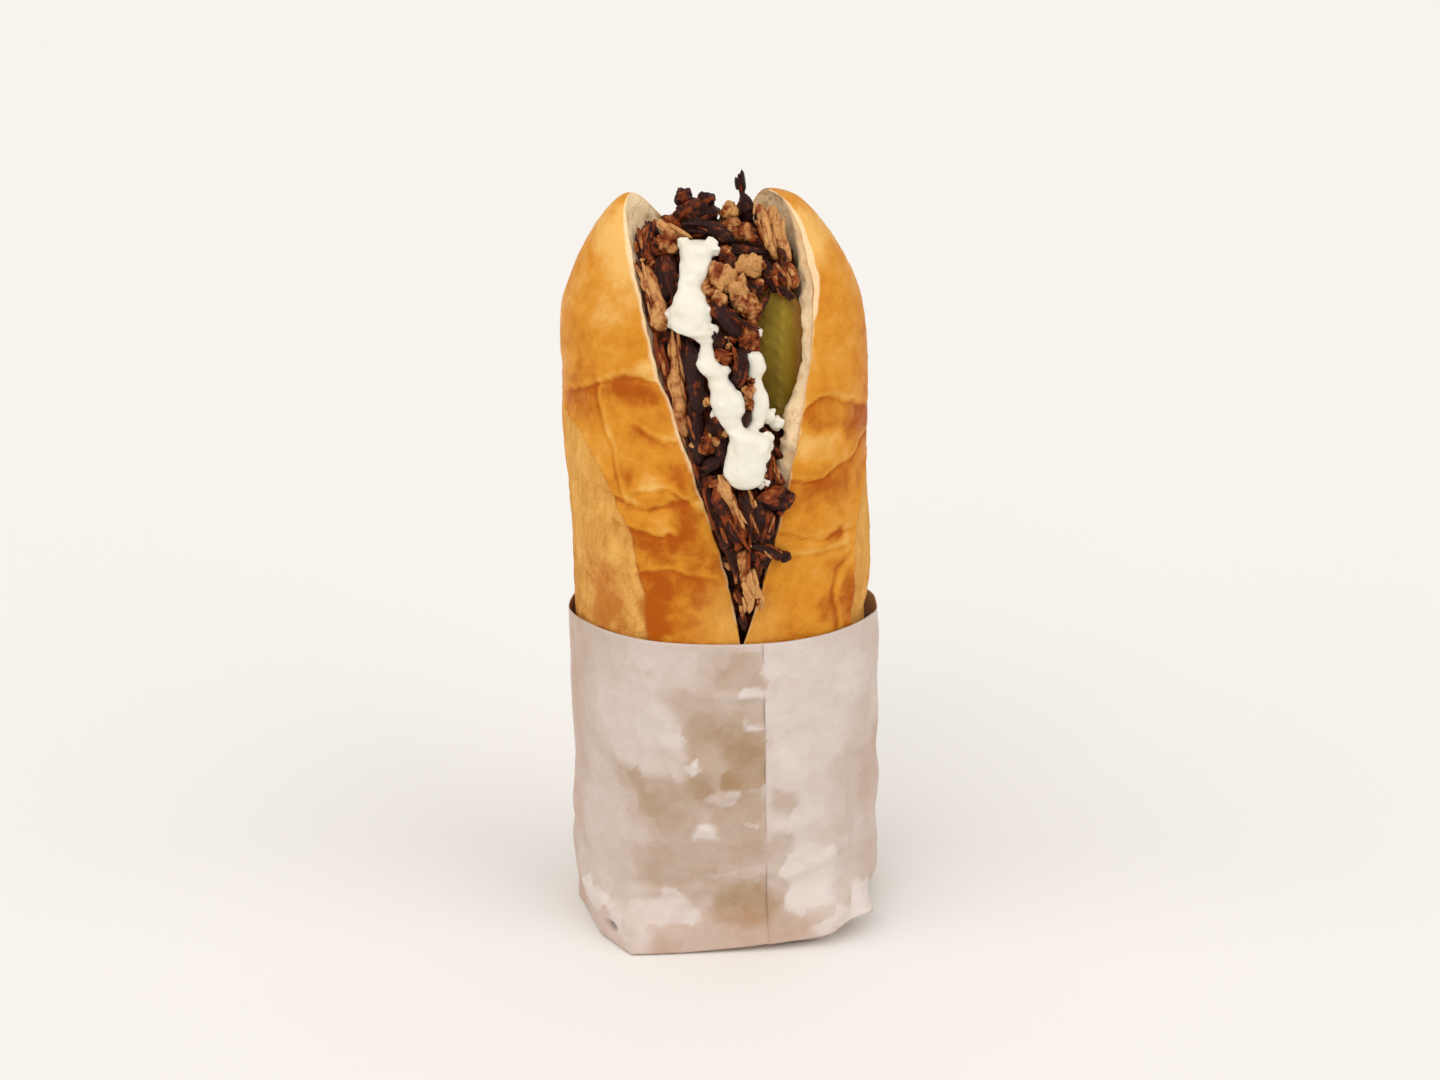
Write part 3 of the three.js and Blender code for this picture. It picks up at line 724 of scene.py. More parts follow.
def toast_at(points):
    """How brown the crust is, from 0 to 1: broad noise, the toasted patches with the left tip's painted
    highlight, and darker round the back.
    """
    x, y, z = np.moveaxis(points, -1, 0)
    warp = 2.2 * noise_vector(points, 7, 41) + 0.8 * noise_vector(points, 2.4, 44)
    wx, _, wz = np.moveaxis(points + warp, -1, 0)
    front = smooth((12 - y) / 16)
    low = smooth((122 - z) / 26) * lerp(0.10, 0.22, smooth((8 - x) / 12))
    toast = 0.48 + low + 0.15 * fractal(points + warp, 15, 4, 11)
    for px, pz, across, up, amount in TOASTING_AND_HIGHLIGHT:
        toast += amount * bump(np.minimum(1, np.hypot((wx - px) / across, (wz - pz) / up) / 1.35)) * front
    return toast + 0.14 * smooth((y - 8) / 16)


def crust_part(settings, half, u, z):
    """A half's crust pushed out along its normals by the sum of its dents, wrinkles, creases, burst band and
    swellings, all of which fade towards the lip, the back's middle and the cut end."""
    points = open_out(half, *half_crust_point(half, u, z), z)
    flip = half.side < 0
    u, z = np.broadcast_arrays(u, z)
    near_band = smooth((half.burst_top - z) / 12)
    burst, past = burst_share(half, points)
    greyer = spot(points[..., 0], z, *GREYER_PATCH) * smooth(-points[..., 1] / 9)
    burst = np.maximum(burst, 0.65 * greyer)
    folds, shade = crease_relief(half, points)

    relief = settings.dents / MM * fractal(points, 14, 2, 3)
    fine = fractal(points * [1, 1, 1.7], 3.1, 3, 5) - 0.6 * np.abs(noise(points * [0.7, 0.7, 1.5], 2.6, 9))
    relief = relief + settings.wrinkles / MM * fine * (1 - 0.5 * burst) + folds
    rough = fractal(points * [1.3, 1.3, 0.8], 2.2, 3, 7) - 0.9 * holes(points, 3.4, 8) ** 2
    relief = relief + burst * (settings.burst_relief / MM * rough - 0.45)
    relief = relief + 0.5 * bump((past + 0.9) / 1.9) * near_band
    high = points[..., 2]
    fuller = bump((high - 167) / 26) + 0.5 * smooth((112 - high) / 20) * smooth((high - 84) / 10)
    fuller = fuller * smooth((half.side * points[..., 0] - 18) / 14)
    relief = (relief + half.fuller * fuller) * lerp(0.35, 1, smooth((high - 79) / 6))
    from_lip, from_back = u * CRUST_ROUND, (1 - u) * CRUST_ROUND
    free = smooth(from_lip / RAGGED_FADE) * smooth(from_back / 3) * clamp01(taper(z) * 4)
    free = free * smooth((z - ROLL.bottom) / 8)

    if half is RIGHT:
        torn = 0.5 + 3.6 * smooth((z - 160) / 16) * (1 - 0.5 * smooth((z - 184) / 4))
    else:
        torn = 0.4 + 0.8 * smooth((z - 112) / 20) + 2.0 * smooth((z - 166) / 14)
    lip = smooth((torn + 0.7 * fractal(points, 2.6, 2, 18) - from_lip) / 0.9)
    # The crust's colour level adds the creases' painted shade and highlights to its baked browning.
    toast = clamp01(toast_at(points) + shade + 0.2 * bump((past + 0.1) / 0.9) * near_band)
    crust = push(points, relief * free, flip)
    return sheet(crust, flip, crumb=0.8 * lip, toast=toast, burst=burst, depth=0 * lip)


def face_part(settings, half, across, z):
    """A half's cut face, pitted by round pores between uneven crumb, with a skin of crust at its lip."""
    first_row = np.arange(len(z))[:, None] == 0
    hollow = np.where(first_row, 0, hollow_at(across, z) - torn_edge(half, across, z))
    points = open_out(half, *face_point(half, across, z, hollow), z)
    flip = half.side > 0
    across, z = np.broadcast_arrays(across, z)
    from_lip, from_hinge = across * FACE_DEPTH, (1 - across) * FACE_DEPTH
    free = smooth(from_lip / 1.2) * smooth(from_hinge / 3) * smooth((z - 18) / 8) * clamp01(taper(z) * 3)
    pores = np.maximum(holes(points, 4.6, 12), 0.7 * holes(points, 2.1, 13))
    relief = settings.crumb_relief / MM * (0.45 * fractal(points, 3.2, 3, 14) - pores)
    skin = smooth(1.5 - from_lip / 0.9 + 0.4 * noise(points, 1.3, 15))
    tanned = 0.45 + (0.25 if half is RIGHT else 0.1) * smooth((z - 164) / 12)
    face = push(points, relief * free, flip)
    # The pores' depth also darkens the crumb in them as painted shade.
    return sheet(face, flip, crumb=1 - 0.8 * skin, toast=tanned, burst=0 * z, depth=pores * free)


def end_part(half, u):
    """A half's flat lower end, as spokes from the middle of the roll to its crust."""
    z = np.full((1, 1), ROLL.bottom)
    ring = open_out(half, *half_crust_point(half, u, z), z)
    middle = np.broadcast_to([slit_at(ROLL.bottom) + foot_shift(ROLL.bottom), 0, ROLL.bottom], ring.shape)
    spokes = lerp(middle, ring, np.linspace(0, 1, GRID.end)[:, None, None])
    nought = np.zeros(spokes.shape[:2])
    flip = half.side < 0
    return sheet(spokes, flip, crumb=nought + 1, toast=nought + 0.4, burst=nought, depth=nought)


def loaf_parts(settings):
    """The bread's grids: for each half its crust, its cut face and its end, closest together at the lip."""
    z = loaf_heights()[:, None]
    cut = z[np.argmax(z >= SLIT.bottom) :]
    round_it, deep = (np.linspace(0, 1, count)[None, :] for count in (GRID.crust, GRID.face))
    u, across = round_it * (0.5 + 0.5 * round_it), deep * (0.45 + 0.55 * deep)
    parts = []
    for half in (LEFT, RIGHT):
        parts += [crust_part(settings, half, u, z), face_part(settings, half, across, cut)]
        parts.append(end_part(half, u))
    return parts


# -------------------------------------------------------------------------------------------------
# The paper's surface
# -------------------------------------------------------------------------------------------------
SEAM = SimpleNamespace(
    at=-14.0,  # degrees from the front towards the left: the sheet's outer edge
    x=11.0,  # where that edge runs down the front
    overlap=62.0,  # degrees that its two ends overlap
    outer=0.06,  # how far inside the wall's outer face the outer end lies
    middle=0.18,  # and the sheet between its ends
    inner=0.27,  # and the inner end
    lift=0.05,  # how far the outer edge stands up
)
PAPER_RADIUS = 38  # about the sheet's, which turns degrees into millimetres for its noise
PAPER_RELIEF = (-0.7, 1.6)  # the most that the sheet goes in or stands out
HUG = 0.8  # how far the rim draws in to the bread at the front
RIM_SLOPE = 3.2  # how much lower the rim is at the back

# The paper's front as it shows the bread through (level 1) or stands clear of it (level 0), painted in this
# order: each patch's middle (x, z), reach across and up, degrees turned, and level. The low-level streaks on
# the folds and the whiter facets of the foot are partly paper standing clear and partly painted highlight.
CLINGING_AND_HIGHLIGHTS = [
    (2, 50, 10, 34, 0, 0.50),
    (-28, 24, 10, 15, 0, 0.36),
    (-16, 40, 12, 9, -30, 0.50),
    (-8, 24, 15, 9, 0, 0.56),
    (4, 8, 22, 9, 4, 0.50),
    (6, 78, 5, 5, 0, 0.62),
    (4, 73, 7, 4, 0, 0.66),
    (-3, 67, 12, 3.5, 2, 0.55),
    (1, 61, 10, 5, -5, 0.72),
    (2, 56, 9, 6, 0, 0.82),
    (5, 51, 7, 6, 0, 0.92),
    (-4, 54, 5, 4, 0, 0.66),
    (-6.5, 44.5, 3.5, 5, 0, 0.88),
    (-19, 45, 8, 4.5, -30, 0.66),
    (-13, 38, 6, 8, 12, 0.74),
    (4, 38, 8, 5, 12, 0.70),
    (4, 30, 9, 6, 0, 0.68),
    (-10, 27, 8, 7, 0, 0.66),
    (-11, 18.5, 8, 3, 4, 0.62),
    (6, 13, 8, 6, 0, 0.84),
    (3, 3, 23, 3, 4, 0.56),
    (15, 24, 4, 9, 0, 0.54),
    (16.5, 41, 3.5, 3.5, 0, 0.52),
    (-36, 49, 3, 6, 10, 0.55),
    (-30, 52, 5, 2.5, -25, 0.45),
    (-19, 76, 3.5, 1.5, -8, 0.38),
    (-22, 66, 5, 2.5, -10, 0.28),
    (34, 42, 3, 14, 0, 0.40),
    (39, 42, 2.5, 12, 0, 0.52),
    (-37, 28, 2, 9, 0, 0.55),
    (-21, 31, 2.5, 3, 20, 0.42),
    (-32, 13, 5, 3, -30, 0.42),
    (30, 30, 6, 3, 0, 0.32),
    (-21, 60, 8, 10, -12, 0.20),
    (-12, 57, 2, 3, 0, 0.06),
    # From here down: whiter streaks on the folds' ridges and whiter facets at the foot, partly paper standing
    # clear of the bread and partly painted highlight.
    (6.5, 70.5, 4, 1, 0, 0.12),
    (7.5, 62.5, 3, 1.5, -15, 0.05),
    (-6.5, 51.5, 2, 1.5, -25, 0.0),
    (4, 43.5, 7, 1.5, 15, 0.28),
    (-5, 33.5, 3, 2, -12, 0.0),
    (7.5, 35.5, 2.5, 1, -25, 0.25),
    (5, 21.5, 10, 1, 2, 0.38),
    (23, 18.5, 6.5, 9.5, 6, 0.05),
    (32, 8, 8, 2, 30, 0.04),
    (-15, 11, 8, 3.5, 20, 0.14),
    (-31, 9.5, 5.5, 1.5, -12, 0.10),
    (-22, 4, 5, 3, -20, 0.20),
    (36, 7, 3, 3, 20, 0.0),
]

# Straight folds and wrinkles pressed into the paper's front, as (x, z) to (x, z), height and half-width:
# a ridge stands out (above 0), and a valley goes in (below 0).
FOLDS = [
    ((3.5, 70.2), (11, 70.2), 0.55, 1.4),
    ((-5, 70.4), (5, 70.0), 0.35, 1.8),
    ((4, 63.8), (11, 61.8), 0.60, 1.6),
    ((-9, 52.4), (-4, 50.4), 0.65, 1.8),
    ((-3, 41.6), (11, 46.0), 0.65, 1.9),
    ((-8, 34.2), (-2, 33.2), 0.70, 2.3),
    ((5, 36.2), (10, 34.2), 0.40, 1.8),
    ((-4, 22.2), (14, 21.4), 0.45, 2.0),
    ((-19, 17.2), (-5, 18.4), -0.45, 2.2),
    ((17, 19.6), (31, 24.4), 0.80, 2.6),
    ((31, 24.4), (28, 6.0), -0.60, 2.8),
    ((17, 19.6), (19, 6.0), -0.50, 3.0),
    ((28, 6.5), (39, 11.0), 0.80, 2.8),
    ((-19, 5.0), (-5, 17.0), 0.90, 3.0),
    ((-24, 13.5), (-7, 17.4), 0.60, 2.4),
    ((-37, 10.6), (-24, 7.0), 0.80, 2.4),
    ((-26, 7.0), (-17, 12.4), -0.70, 2.6),
    ((-38, 54.0), (-25, 50.2), 0.45, 2.6),
    ((-25, 50.2), (-10, 46.8), 0.45, 2.6),
    ((-31, 73.0), (-14, 66.4), -0.35, 3.2),
    ((-30, 30.0), (-18, 20.0), -0.45, 3.4),
    ((22, 60.0), (34, 48.0), -0.30, 4.0),
    ((15, 33.0), (34, 36.0), 0.30, 3.0),
]

# The folded foot's outline on the front, from the left round to the right, as straight edges between corners
# (x, y); the wall is pressed onto it in flat facets that end at this height.
FOOT_CORNERS = [(-37, 3), (-37, -4), (-31, -25), (-23, -37), (9, -35), (29, -32), (39.6, -18), (38.6, 3)]
FOOT_FACETS = 12.0

CORNER_LIFT = 2.8  # how much further the foot's right front corner is lifted
# The opening is also painted dark inside as painted shade.
POCKET = (-28.6, 4.4, 2.6, 2.0)  # the small opening in its left one, as (x, z, reach across, reach up)

# The sheet's own creases: for each family of parallel ones, degrees turned and the way from one to the next.
CREASE_FAMILIES = [(12, 21.0), (78, 17.0), (-38, 15.0), (51, 25.0), (-71, 12.0)]


def sleeve_point(phi, z, inset):
    """The paper wall at an angle from the front: x as on the unit section, and y from the superellipse
    y = (1 - x^n)^(1/n), times width or depth. Towards the foot n grows, which squares the wall into folded
    corners while each column still runs straight down. The left front corner juts out."""
    fold = smooth(1 - z / SLEEVE.fold_height)
    turn = half_turn_off(phi)
    side = np.where(np.sin(phi) > 0, SLEEVE.square_left, SLEEVE.square_right)
    square = np.where(np.cos(phi) < 0, SLEEVE.square_back, side)
    exponent = lerp(roundness(phi), square, fold)
    x, y = unit_section(phi, roundness(phi))
    y = np.sign(y) * np.maximum(1 - np.abs(x) ** exponent, 0) ** (1 / exponent)
    jut = SLEEVE.jut * fold * smooth(1 - np.abs(turn - math.radians(33)) / math.radians(40))
    width = np.where(x < 0, SLEEVE.left, SLEEVE.right) - inset
    depth = np.where(y < 0, SLEEVE.front + jut, SLEEVE.back) - inset
    crease = 1 + 0.006 * (1 - z / SLEEVE.rim) * wobble(x * 40, y * 40, z, 31, 5)
    return stack(x * width * crease + foot_shift(z), y * depth * crease, z)


def foot_height(phi):
    """The height of the wall's lower edge, which lifts off the ground towards the right of the front."""
    turn = half_turn_off(phi)
    right = smooth((math.radians(22) - turn) / math.radians(75))
    front = smooth((turn + math.radians(115)) / math.radians(40))
    corner = smooth((math.radians(-34) - turn) / math.radians(30))
    return SLEEVE.edge + (SLEEVE.lift_right * right + CORNER_LIFT * corner) * front


def fold_relief(points):
    """The folds and wrinkles on the front: each a straight ridge h (1 - |d| / w), fading past its ends."""
    x, y, z = np.moveaxis(points, -1, 0)
    total = np.zeros_like(x)
    for start, end, height, reach in FOLDS:
        a, b = np.array(start, float), np.array(end, float)
        length = np.hypot(*(b - a))
        along = ((x - a[0]) * (b - a)[0] + (z - a[1]) * (b - a)[1]) / length
        off = ((z - a[1]) * (b - a)[0] - (x - a[0]) * (b - a)[1]) / length
        past = np.maximum(0, np.maximum(-along, along - length)) / 3
        total += height * tent(np.hypot(off / reach, past))
    return total * smooth((-y - 2) / 12)


def crumpled(around):
    """Flat facets between straight creases, from -1 to 1: the mean of each family's triangle wave, which
    comes and goes with noise."""
    x, z = around[..., 0] + 2.5 * noise(around, 30, 65), around[..., 2]
    total = np.zeros_like(x)
    for n, (degrees, apart) in enumerate(CREASE_FAMILIES):
        heading = math.radians(degrees)
        along = (x * math.sin(heading) + z * math.cos(heading)) / apart + 0.37 * n
        wave = 2 * np.abs(2 * (along % 1) - 1) - 1
        total += wave * clamp01(0.5 + 1.2 * noise(around, 26, 66 + n))
    return total / len(CREASE_FAMILIES)


def folded_in(points):
    """The front of the foot pressed flat: each point moves straight out or in, by its share of the way down
    to the ground, to the nearest of the foot's straight edges, r = d / cos(angle off the edge's normal)."""
    x, y, z = np.moveaxis(points, -1, 0)
    away = np.stack([x - SLEEVE.shift, y], axis=-1)
    away /= np.linalg.norm(away, axis=-1, keepdims=True)
    reach = np.full(x.shape, 1e3)
    for (ax, ay), (bx, by) in itertools.pairwise(FOOT_CORNERS):
        outward = np.array([by - ay, ax - bx]) / np.hypot(bx - ax, by - ay)
        distance_out = outward @ np.array([ax - SLEEVE.shift, ay])
        facing = away @ outward
        reach = np.where(facing > 0.05, np.minimum(reach, distance_out / np.maximum(facing, 0.05)), reach)
    share_down = clamp01(1 - z / FOOT_FACETS) * smooth(-y / 7)
    now = np.hypot(x - SLEEVE.shift, y)
    moved = (reach - now) * share_down
    return points + np.concatenate([away * moved[..., None], np.zeros_like(points[..., :1])], axis=-1)


def facet_centres(points, size, seed):
    """The middle of the facet that each point lies in: the nearest of one random place in each cell."""
    best, nearest = np.full(points.shape[:-1], 9.0), points / size
    for _, middle, away in nearby_cells(points, size, 0.45, seed):
        nearest = np.where((away < best)[..., None], middle, nearest)
        best = np.minimum(away, best)
    return nearest * size


def clinging_at(points, double):
    """How far the paper clings to the bread, from 0 to 1, low values also painting highlights on the folds:
    the named patches, each a superellipse with a soft edge that wanders and follows the paper's facets. A
    patch left of the seam leaves the outer end alone."""
    x, y, z = np.moveaxis(points, -1, 0)
    warp = 1.2 * noise_vector(points, 7, 51) + 0.25 * noise_vector(points, 2.6, 54)
    warp = warp + 0.4 * (facet_centres(points + warp, 5.5, 59) - points)
    wx, _, wz = np.moveaxis(points + warp, -1, 0)
    front = smooth((4 - y) / 10)
    facet = facet_centres(points + 0.5 * warp, 7, 60)
    sides = 0.22 * smooth((np.abs(x) - 31) / 7) + 0.14 * smooth((8 - x) / 20) + 0.06 * smooth((40 - z) / 30)
    cling = sides + lerp(0.26, 0.18, front) + 0.13 * fractal(points, 17, 3, 57) + 0.12 * noise(facet, 9, 61)
    outer_end = double * smooth((z - 21) / 6)
    for px, pz, across, up, degrees, level in CLINGING_AND_HIGHLIGHTS:
        c, s = math.cos(math.radians(degrees)), math.sin(math.radians(degrees))
        u = ((wx - px) * c + (wz - pz) * s) / across
        v = ((wz - pz) * c - (wx - px) * s) / up
        soft = 0.56 if level > 0.3 else 0.42
        inside = smooth((1 + 0.5 * soft - (np.abs(u) ** 3 + np.abs(v) ** 3) ** (1 / 3)) / soft)
        shown = 1 - outer_end if px < SEAM.x else 1
        cling = lerp(cling, level + 0.11 * noise(facet, 8, 58), inside * front * shown)
    return cling


def wall_relief(settings, points, turns, z, low):
    """How far the paper's wall stands out: crumpled facets, broad waves and folds, calmer at both edges."""
    around = stack(turns * PAPER_RADIUS, 0 * turns, z)
    relief = 2.2 * settings.crumple / MM * crumpled(around) * lerp(1, 0.5, smooth((z - 50) / 34))
    relief = relief + 0.25 * fractal(around, 15, 2, 61) + fold_relief(points)
    relief = relief * smooth((z - low) / 3) * lerp(0.25, 1, smooth((SLEEVE.rim - z) / 6))
    return relief + 0.3 * noise(around, 13, 63) * smooth((z - 60) / 24)


def paper_parts(settings):
    """The sheet as one spiral: from its outer edge at the front round to the right, the back and the left,
    and on under its own start. Each column runs down the wall and in under the base to the middle."""
    turns = np.radians(SEAM.at - np.linspace(0, 360 + SEAM.overlap, GRID.sheet))[None, :]
    since = np.degrees(turns[0, 0] - turns)
    to_go = np.degrees(turns - turns[0, -1])
    inset = lerp(SEAM.outer, SEAM.middle, smooth((since - SEAM.overlap) / 40))
    inset = lerp(SEAM.inner, inset, smooth((to_go - SEAM.overlap * 0.9) / 30))
    low = foot_height(turns) + inset
    rim = SLEEVE.rim - RIM_SLOPE * smooth((0.55 - np.cos(turns)) / 1.1)
    wall = np.linspace(1, 0, GRID.wall)[:, None] ** 1.15
    z = lerp(low, rim, wall)
    hug = HUG * smooth((z - 66) / 18) * smooth(np.cos(turns) / 0.7)
    points = sleeve_point(turns, z, inset + hug)
    around = stack(turns * PAPER_RADIUS, 0 * turns, z)
    first, nested = (wall_relief(settings, points, turns + lap, z, low) for lap in (0, 2 * math.pi))
    relief = lerp(first, nested, smooth((since - 361) / 8))
    lift = SEAM.lift * np.exp(-since / 2.2) * (0.6 + 0.4 * noise(around, 11, 64)) * smooth((z - 18) / 12)
    shown = push(points, np.clip(relief, *PAPER_RELIEF) + lift, flip=True)
    ear = ear_push(turns, z)
    pocket = 2.0 * spot(shown[..., 0], shown[..., 2], *POCKET)
    shown = folded_in(shown) + stack(ear * 0.85 + 0.75 * pocket, 0.65 * pocket - ear * 0.45, 0 * ear)

    share_in = np.linspace(1, 0, GRID.base)[1:, None]
    edge = shown[-1:]
    raised = clamp01((foot_height(turns) - SLEEVE.edge - SLEEVE.lift_right) / CORNER_LIFT)
    flat = smooth((1 - share_in) / ((1 - SLEEVE.flat) * 0.45 + 0.34 * raised))
    under_z = lerp(edge[..., 2], inset - SEAM.outer + 0.08, flat)
    under_z = under_z + 0.5 * flap_relief(edge, share_in) * smooth((1 - share_in) * 5)
    under_x = SLEEVE.shift + (edge[..., 0] - SLEEVE.shift) * share_in
    under = stack(under_x, edge[..., 1] * share_in, under_z)
    grid = np.concatenate([shown, under])
    double = np.broadcast_to(smooth((SEAM.overlap + 4 - since) / 6), grid.shape[:2])
    sides = smooth((np.abs(grid[..., 0]) - 34) / 5) * smooth((2 - grid[..., 1]) / 8)
    warm = 0.8 * smooth((16 - grid[..., 2]) / 13) + 0.7 * sides
    pocket = np.concatenate([pocket * smooth((-shown[..., 1] - 10) / 8), 0 * under_z])
    return [sheet(grid, flip=True, cling=clinging_at(grid, double), warm=clamp01(warm), pocket=pocket)]


def ear_push(turns, z):
    """The right front corner's folded ear: a small point that sticks out at the wall's lower edge, with a
    nick above it and the wall tucked in behind it."""
    turn = np.degrees(half_turn_off(turns))
    ear = 2.8 * tent((turn + 64) / 12) * tent((z - 6.6) / 2.8)
    nick = 2.3 * smooth((-50 - turn) / 8) * smooth((turn + 84) / 10) * tent((z - 10.2) / 3.6)
    tucked = 2.4 * smooth((-67 - turn) / 7) * smooth((turn + 128) / 24) * smooth((13.5 - z) / 6)
    return ear - np.maximum(nick, tucked)


def flap_relief(edge, share_in):
    """Low steps in the base where the folded flaps lie over each other, along its two diagonals."""
    x, y = edge[..., 0] * share_in * 0.75, edge[..., 1] * share_in
    return 0.25 * (smooth((x - y) / 1.2) + smooth((x + y) / 1.2))


# -------------------------------------------------------------------------------------------------
# The filling's surfaces
# -------------------------------------------------------------------------------------------------
def heap_point(t, deep, z):
    """A place in the heap: t from the left face to the right, deep from the lips at 0 to the hinge at 1."""
    t, deep, z = np.broadcast_arrays(*(np.asarray(value, float) for value in (t, deep, z)))
    hollow = np.maximum(0.15, hollow_at(deep, z) - 0.5)
    left, right = (open_out(half, *face_point(half, deep, z, hollow), z) for half in (LEFT, RIGHT))
    bulge = HEAP.bulge * smooth((z - SLIT.opens_at) / 30) * np.sin(math.pi * clamp01(t)) * (1 - deep)
    point = lerp(left, right, t[..., None])
    return point - stack(0 * bulge, bulge, 0 * bulge)


def clear_gherkin(points, room=0.8):
    """Draws the heap back to the left of the gherkin, over the gherkin's height."""
    beside = smooth((points[..., 2] - 130) / 5) * smooth((174 - points[..., 2]) / 5)
    limit = lerp(60, 7.4 - room, beside)
    moved = points.copy()
    moved[..., 0] = np.minimum(points[..., 0], limit)
    return moved


def core_parts():
    """The heap's dark core: its outline at each height runs back along the left face and forward along the
    right one, well behind the shreds, and its top is a low dome."""
    heights = np.concatenate([np.linspace(HEAP.bottom, 80, 16)[:-1], np.linspace(80, HEAP.top, 90)])[:, None]
    bare = lerp(0.13, 0.05, smooth((heights - SLIT.opens_at) / 30)) + 0.08 * smooth((heights - 168) / 10)
    beside = lerp(bare, 0.22, smooth((heights - 122) / 12))
    back = np.linspace(0, 1, 24)[None, :]
    t = np.linspace(0.96, 0.04, 22)[None, :]
    left = heap_point(0.03, lerp(bare, 0.9, back), heights)
    right = heap_point(0.97, lerp(0.9, beside, back), heights)
    front = heap_point(t, lerp(bare, beside, smooth((t - 0.45) / 0.3)), heights)
    ring = clear_gherkin(np.concatenate([left, right, front], axis=1), 1.6)
    lumpy = 1.4 * fractal(ring, 5, 3, 71) - 0.6
    body = push(ring, lumpy * smooth((heights - 84) / 10), closed=True)
    middle = body.mean(axis=1, keepdims=True)
    rise = np.linspace(0, 1, 10)[1:, None]
    dome = lerp(body[-1:], middle[-1:], rise[..., None])
    dome[..., 2] += 4 * np.sin(rise * math.pi / 2) + 0.8 * noise(dome, 4, 72) * (rise < 1)
    grid = np.concatenate([middle[:1].repeat(body.shape[1], 1), body, dome])
    return [sheet(grid, closed=True, tone=0.14 + 0.2 * fractal(grid, 4, 3, 73), grain=grid)]


def through(points, t):
    """The parabola through three places: (1-t)^2 a + 2t(1-t) (2b - (a+c)/2) + t^2 c."""
    a, b, c = (np.asarray(p, float)[None, :] for p in points)
    t = t[:, None]
    return (1 - t) ** 2 * a + 2 * t * (1 - t) * (2 * b - (a + c) / 2) + t**2 * c


def frame_along(line, face, twist, v):
    """The directions along, out of and across a line: out is the part of face square to the line, turned
    about it by a share of the twist."""
    tangent = np.gradient(line, axis=0)
    tangent /= np.linalg.norm(tangent, axis=1, keepdims=True)
    face = np.asarray(face, float)
    out = face - tangent * (tangent @ face)[:, None]
    out /= np.maximum(np.linalg.norm(out, axis=1, keepdims=True), 1e-6)
    side = np.cross(tangent, out)
    turn = np.radians(twist) * (v - 0.5)[:, None]
    return tangent, out * np.cos(turn) + side * np.sin(turn), side * np.cos(turn) - out * np.sin(turn)


def shred(path, width, thickness, tone, seed, rows=40, columns=28, face=FRONT, twist=0.0, char=0.5):
    """A strip of roast meat along a path. Its section is a blunt superellipse of width by thickness, cut
    lengthwise by furrows between its fibres, r = 1 - a |n(angle)| + b n(length); its torn ends stop at a
    different length for each fibre. One edge and the ends are charred, and browned blotches lie over it."""
    v = np.linspace(0, 1, rows)
    line = through(path, v)
    tangent, out, side = frame_along(line, face, twist, v)
    phi = full_turn(columns)
    length = np.linalg.norm(line[-1] - line[0])
    wide = v[:, None]
    round_it = stack(np.cos(phi) * width / 2, np.sin(phi) * thickness / 2, wide * length / 6) + seed * 31.7
    furrows = np.abs(noise(round_it, 1.1, 81))
    lumps = fractal(stack(round_it[..., 0], round_it[..., 1], wide * length * 0.8 + seed * 5), 3.2, 2, 82)
    uneven = 1 + 0.26 * noise(stack(wide * length, 0 * wide, 0 * wide) + seed * 9.1, 4.0, 85)
    swell = np.sqrt(np.clip(1 - np.abs(2 * wide - 1) ** 4, 0, 1))
    radius = swell * uneven * (1 - 0.22 * furrows + 0.5 * lumps)
    across = signed_power(np.cos(phi), 0.72) * radius * width / 2
    outward = signed_power(np.sin(phi), 0.78) * radius * thickness / 2
    cup = 0.10 * width * (across / width * 2) ** 2
    torn = noise(stack(2.4 * np.cos(phi), 2.4 * np.sin(phi), 0 * phi) + seed * 7.3, 1.3, 83)
    from_middle = 2 * wide - 1
    near_end = np.abs(from_middle)
    slide = min(0.14 * length, 1.6) * torn * np.sign(from_middle) * near_end**4 * (near_end < 0.999)
    points = line[:, None] + side[:, None] * across[..., None] + out[:, None] * (outward - cup)[..., None]
    points = points + tangent[:, None] * slide[..., None]
    edge = smooth((np.cos(phi + seed) - 0.3) / 0.7) + 0.6 * smooth((near_end - 0.78) * 4)
    blotch = fractal(points + seed, 3.2, 2, 84)
    shade = tone + 0.15 * lumps - 0.25 * furrows - char * edge * (0.8 + 0.6 * blotch) + 0.22 * blotch
    grain = stack(across, outward, wide * length) + seed * 13.1
    return sheet(points, closed=True, tone=shade, grain=grain)


def fibres(path, width, thickness, tone, rng, count, face=FRONT, rows=9, columns=6):
    """Loose fibres along a strip: thin tubes that taper to both ends, each lying somewhere on the strip's
    outside over part of its length, sticking out past its end or lifting off it."""
    parts = []
    for _ in range(count):
        start = rng.uniform(-0.16, 0.55)
        v = np.linspace(start, min(start + rng.uniform(0.3, 0.75), 1.18), rows)
        line = through(path, v)
        _, out, side = frame_along(line, face, 0, v)
        lift = rng.uniform(0.2, 0.55) * thickness
        lift = lift + rng.uniform(0, 0.16) * width * np.linspace(-1, 1, rows) ** 2
        drift = rng.uniform(-0.5, 0.5) * width + rng.normal(0, 0.12) * width * np.linspace(-1, 1, rows)
        line = line + side * drift[:, None] + out * lift[:, None]
        radius = rng.uniform(0.3, 0.65) * np.sqrt(np.clip(1 - np.abs(np.linspace(-1, 1, rows)) ** 3, 0, 1))
        phi = full_turn(columns)[..., None]
        outward = side[:, None] * np.cos(phi) + out[:, None] * np.sin(phi)
        points = line[:, None] + outward * radius[:, None, None]
        shade = np.full(points.shape[:2], tone + rng.normal(0, 0.2))
        parts.append(sheet(points, closed=True, tone=shade, grain=points * [1, 1, 0.3] + rng.uniform(0, 50)))
    return parts


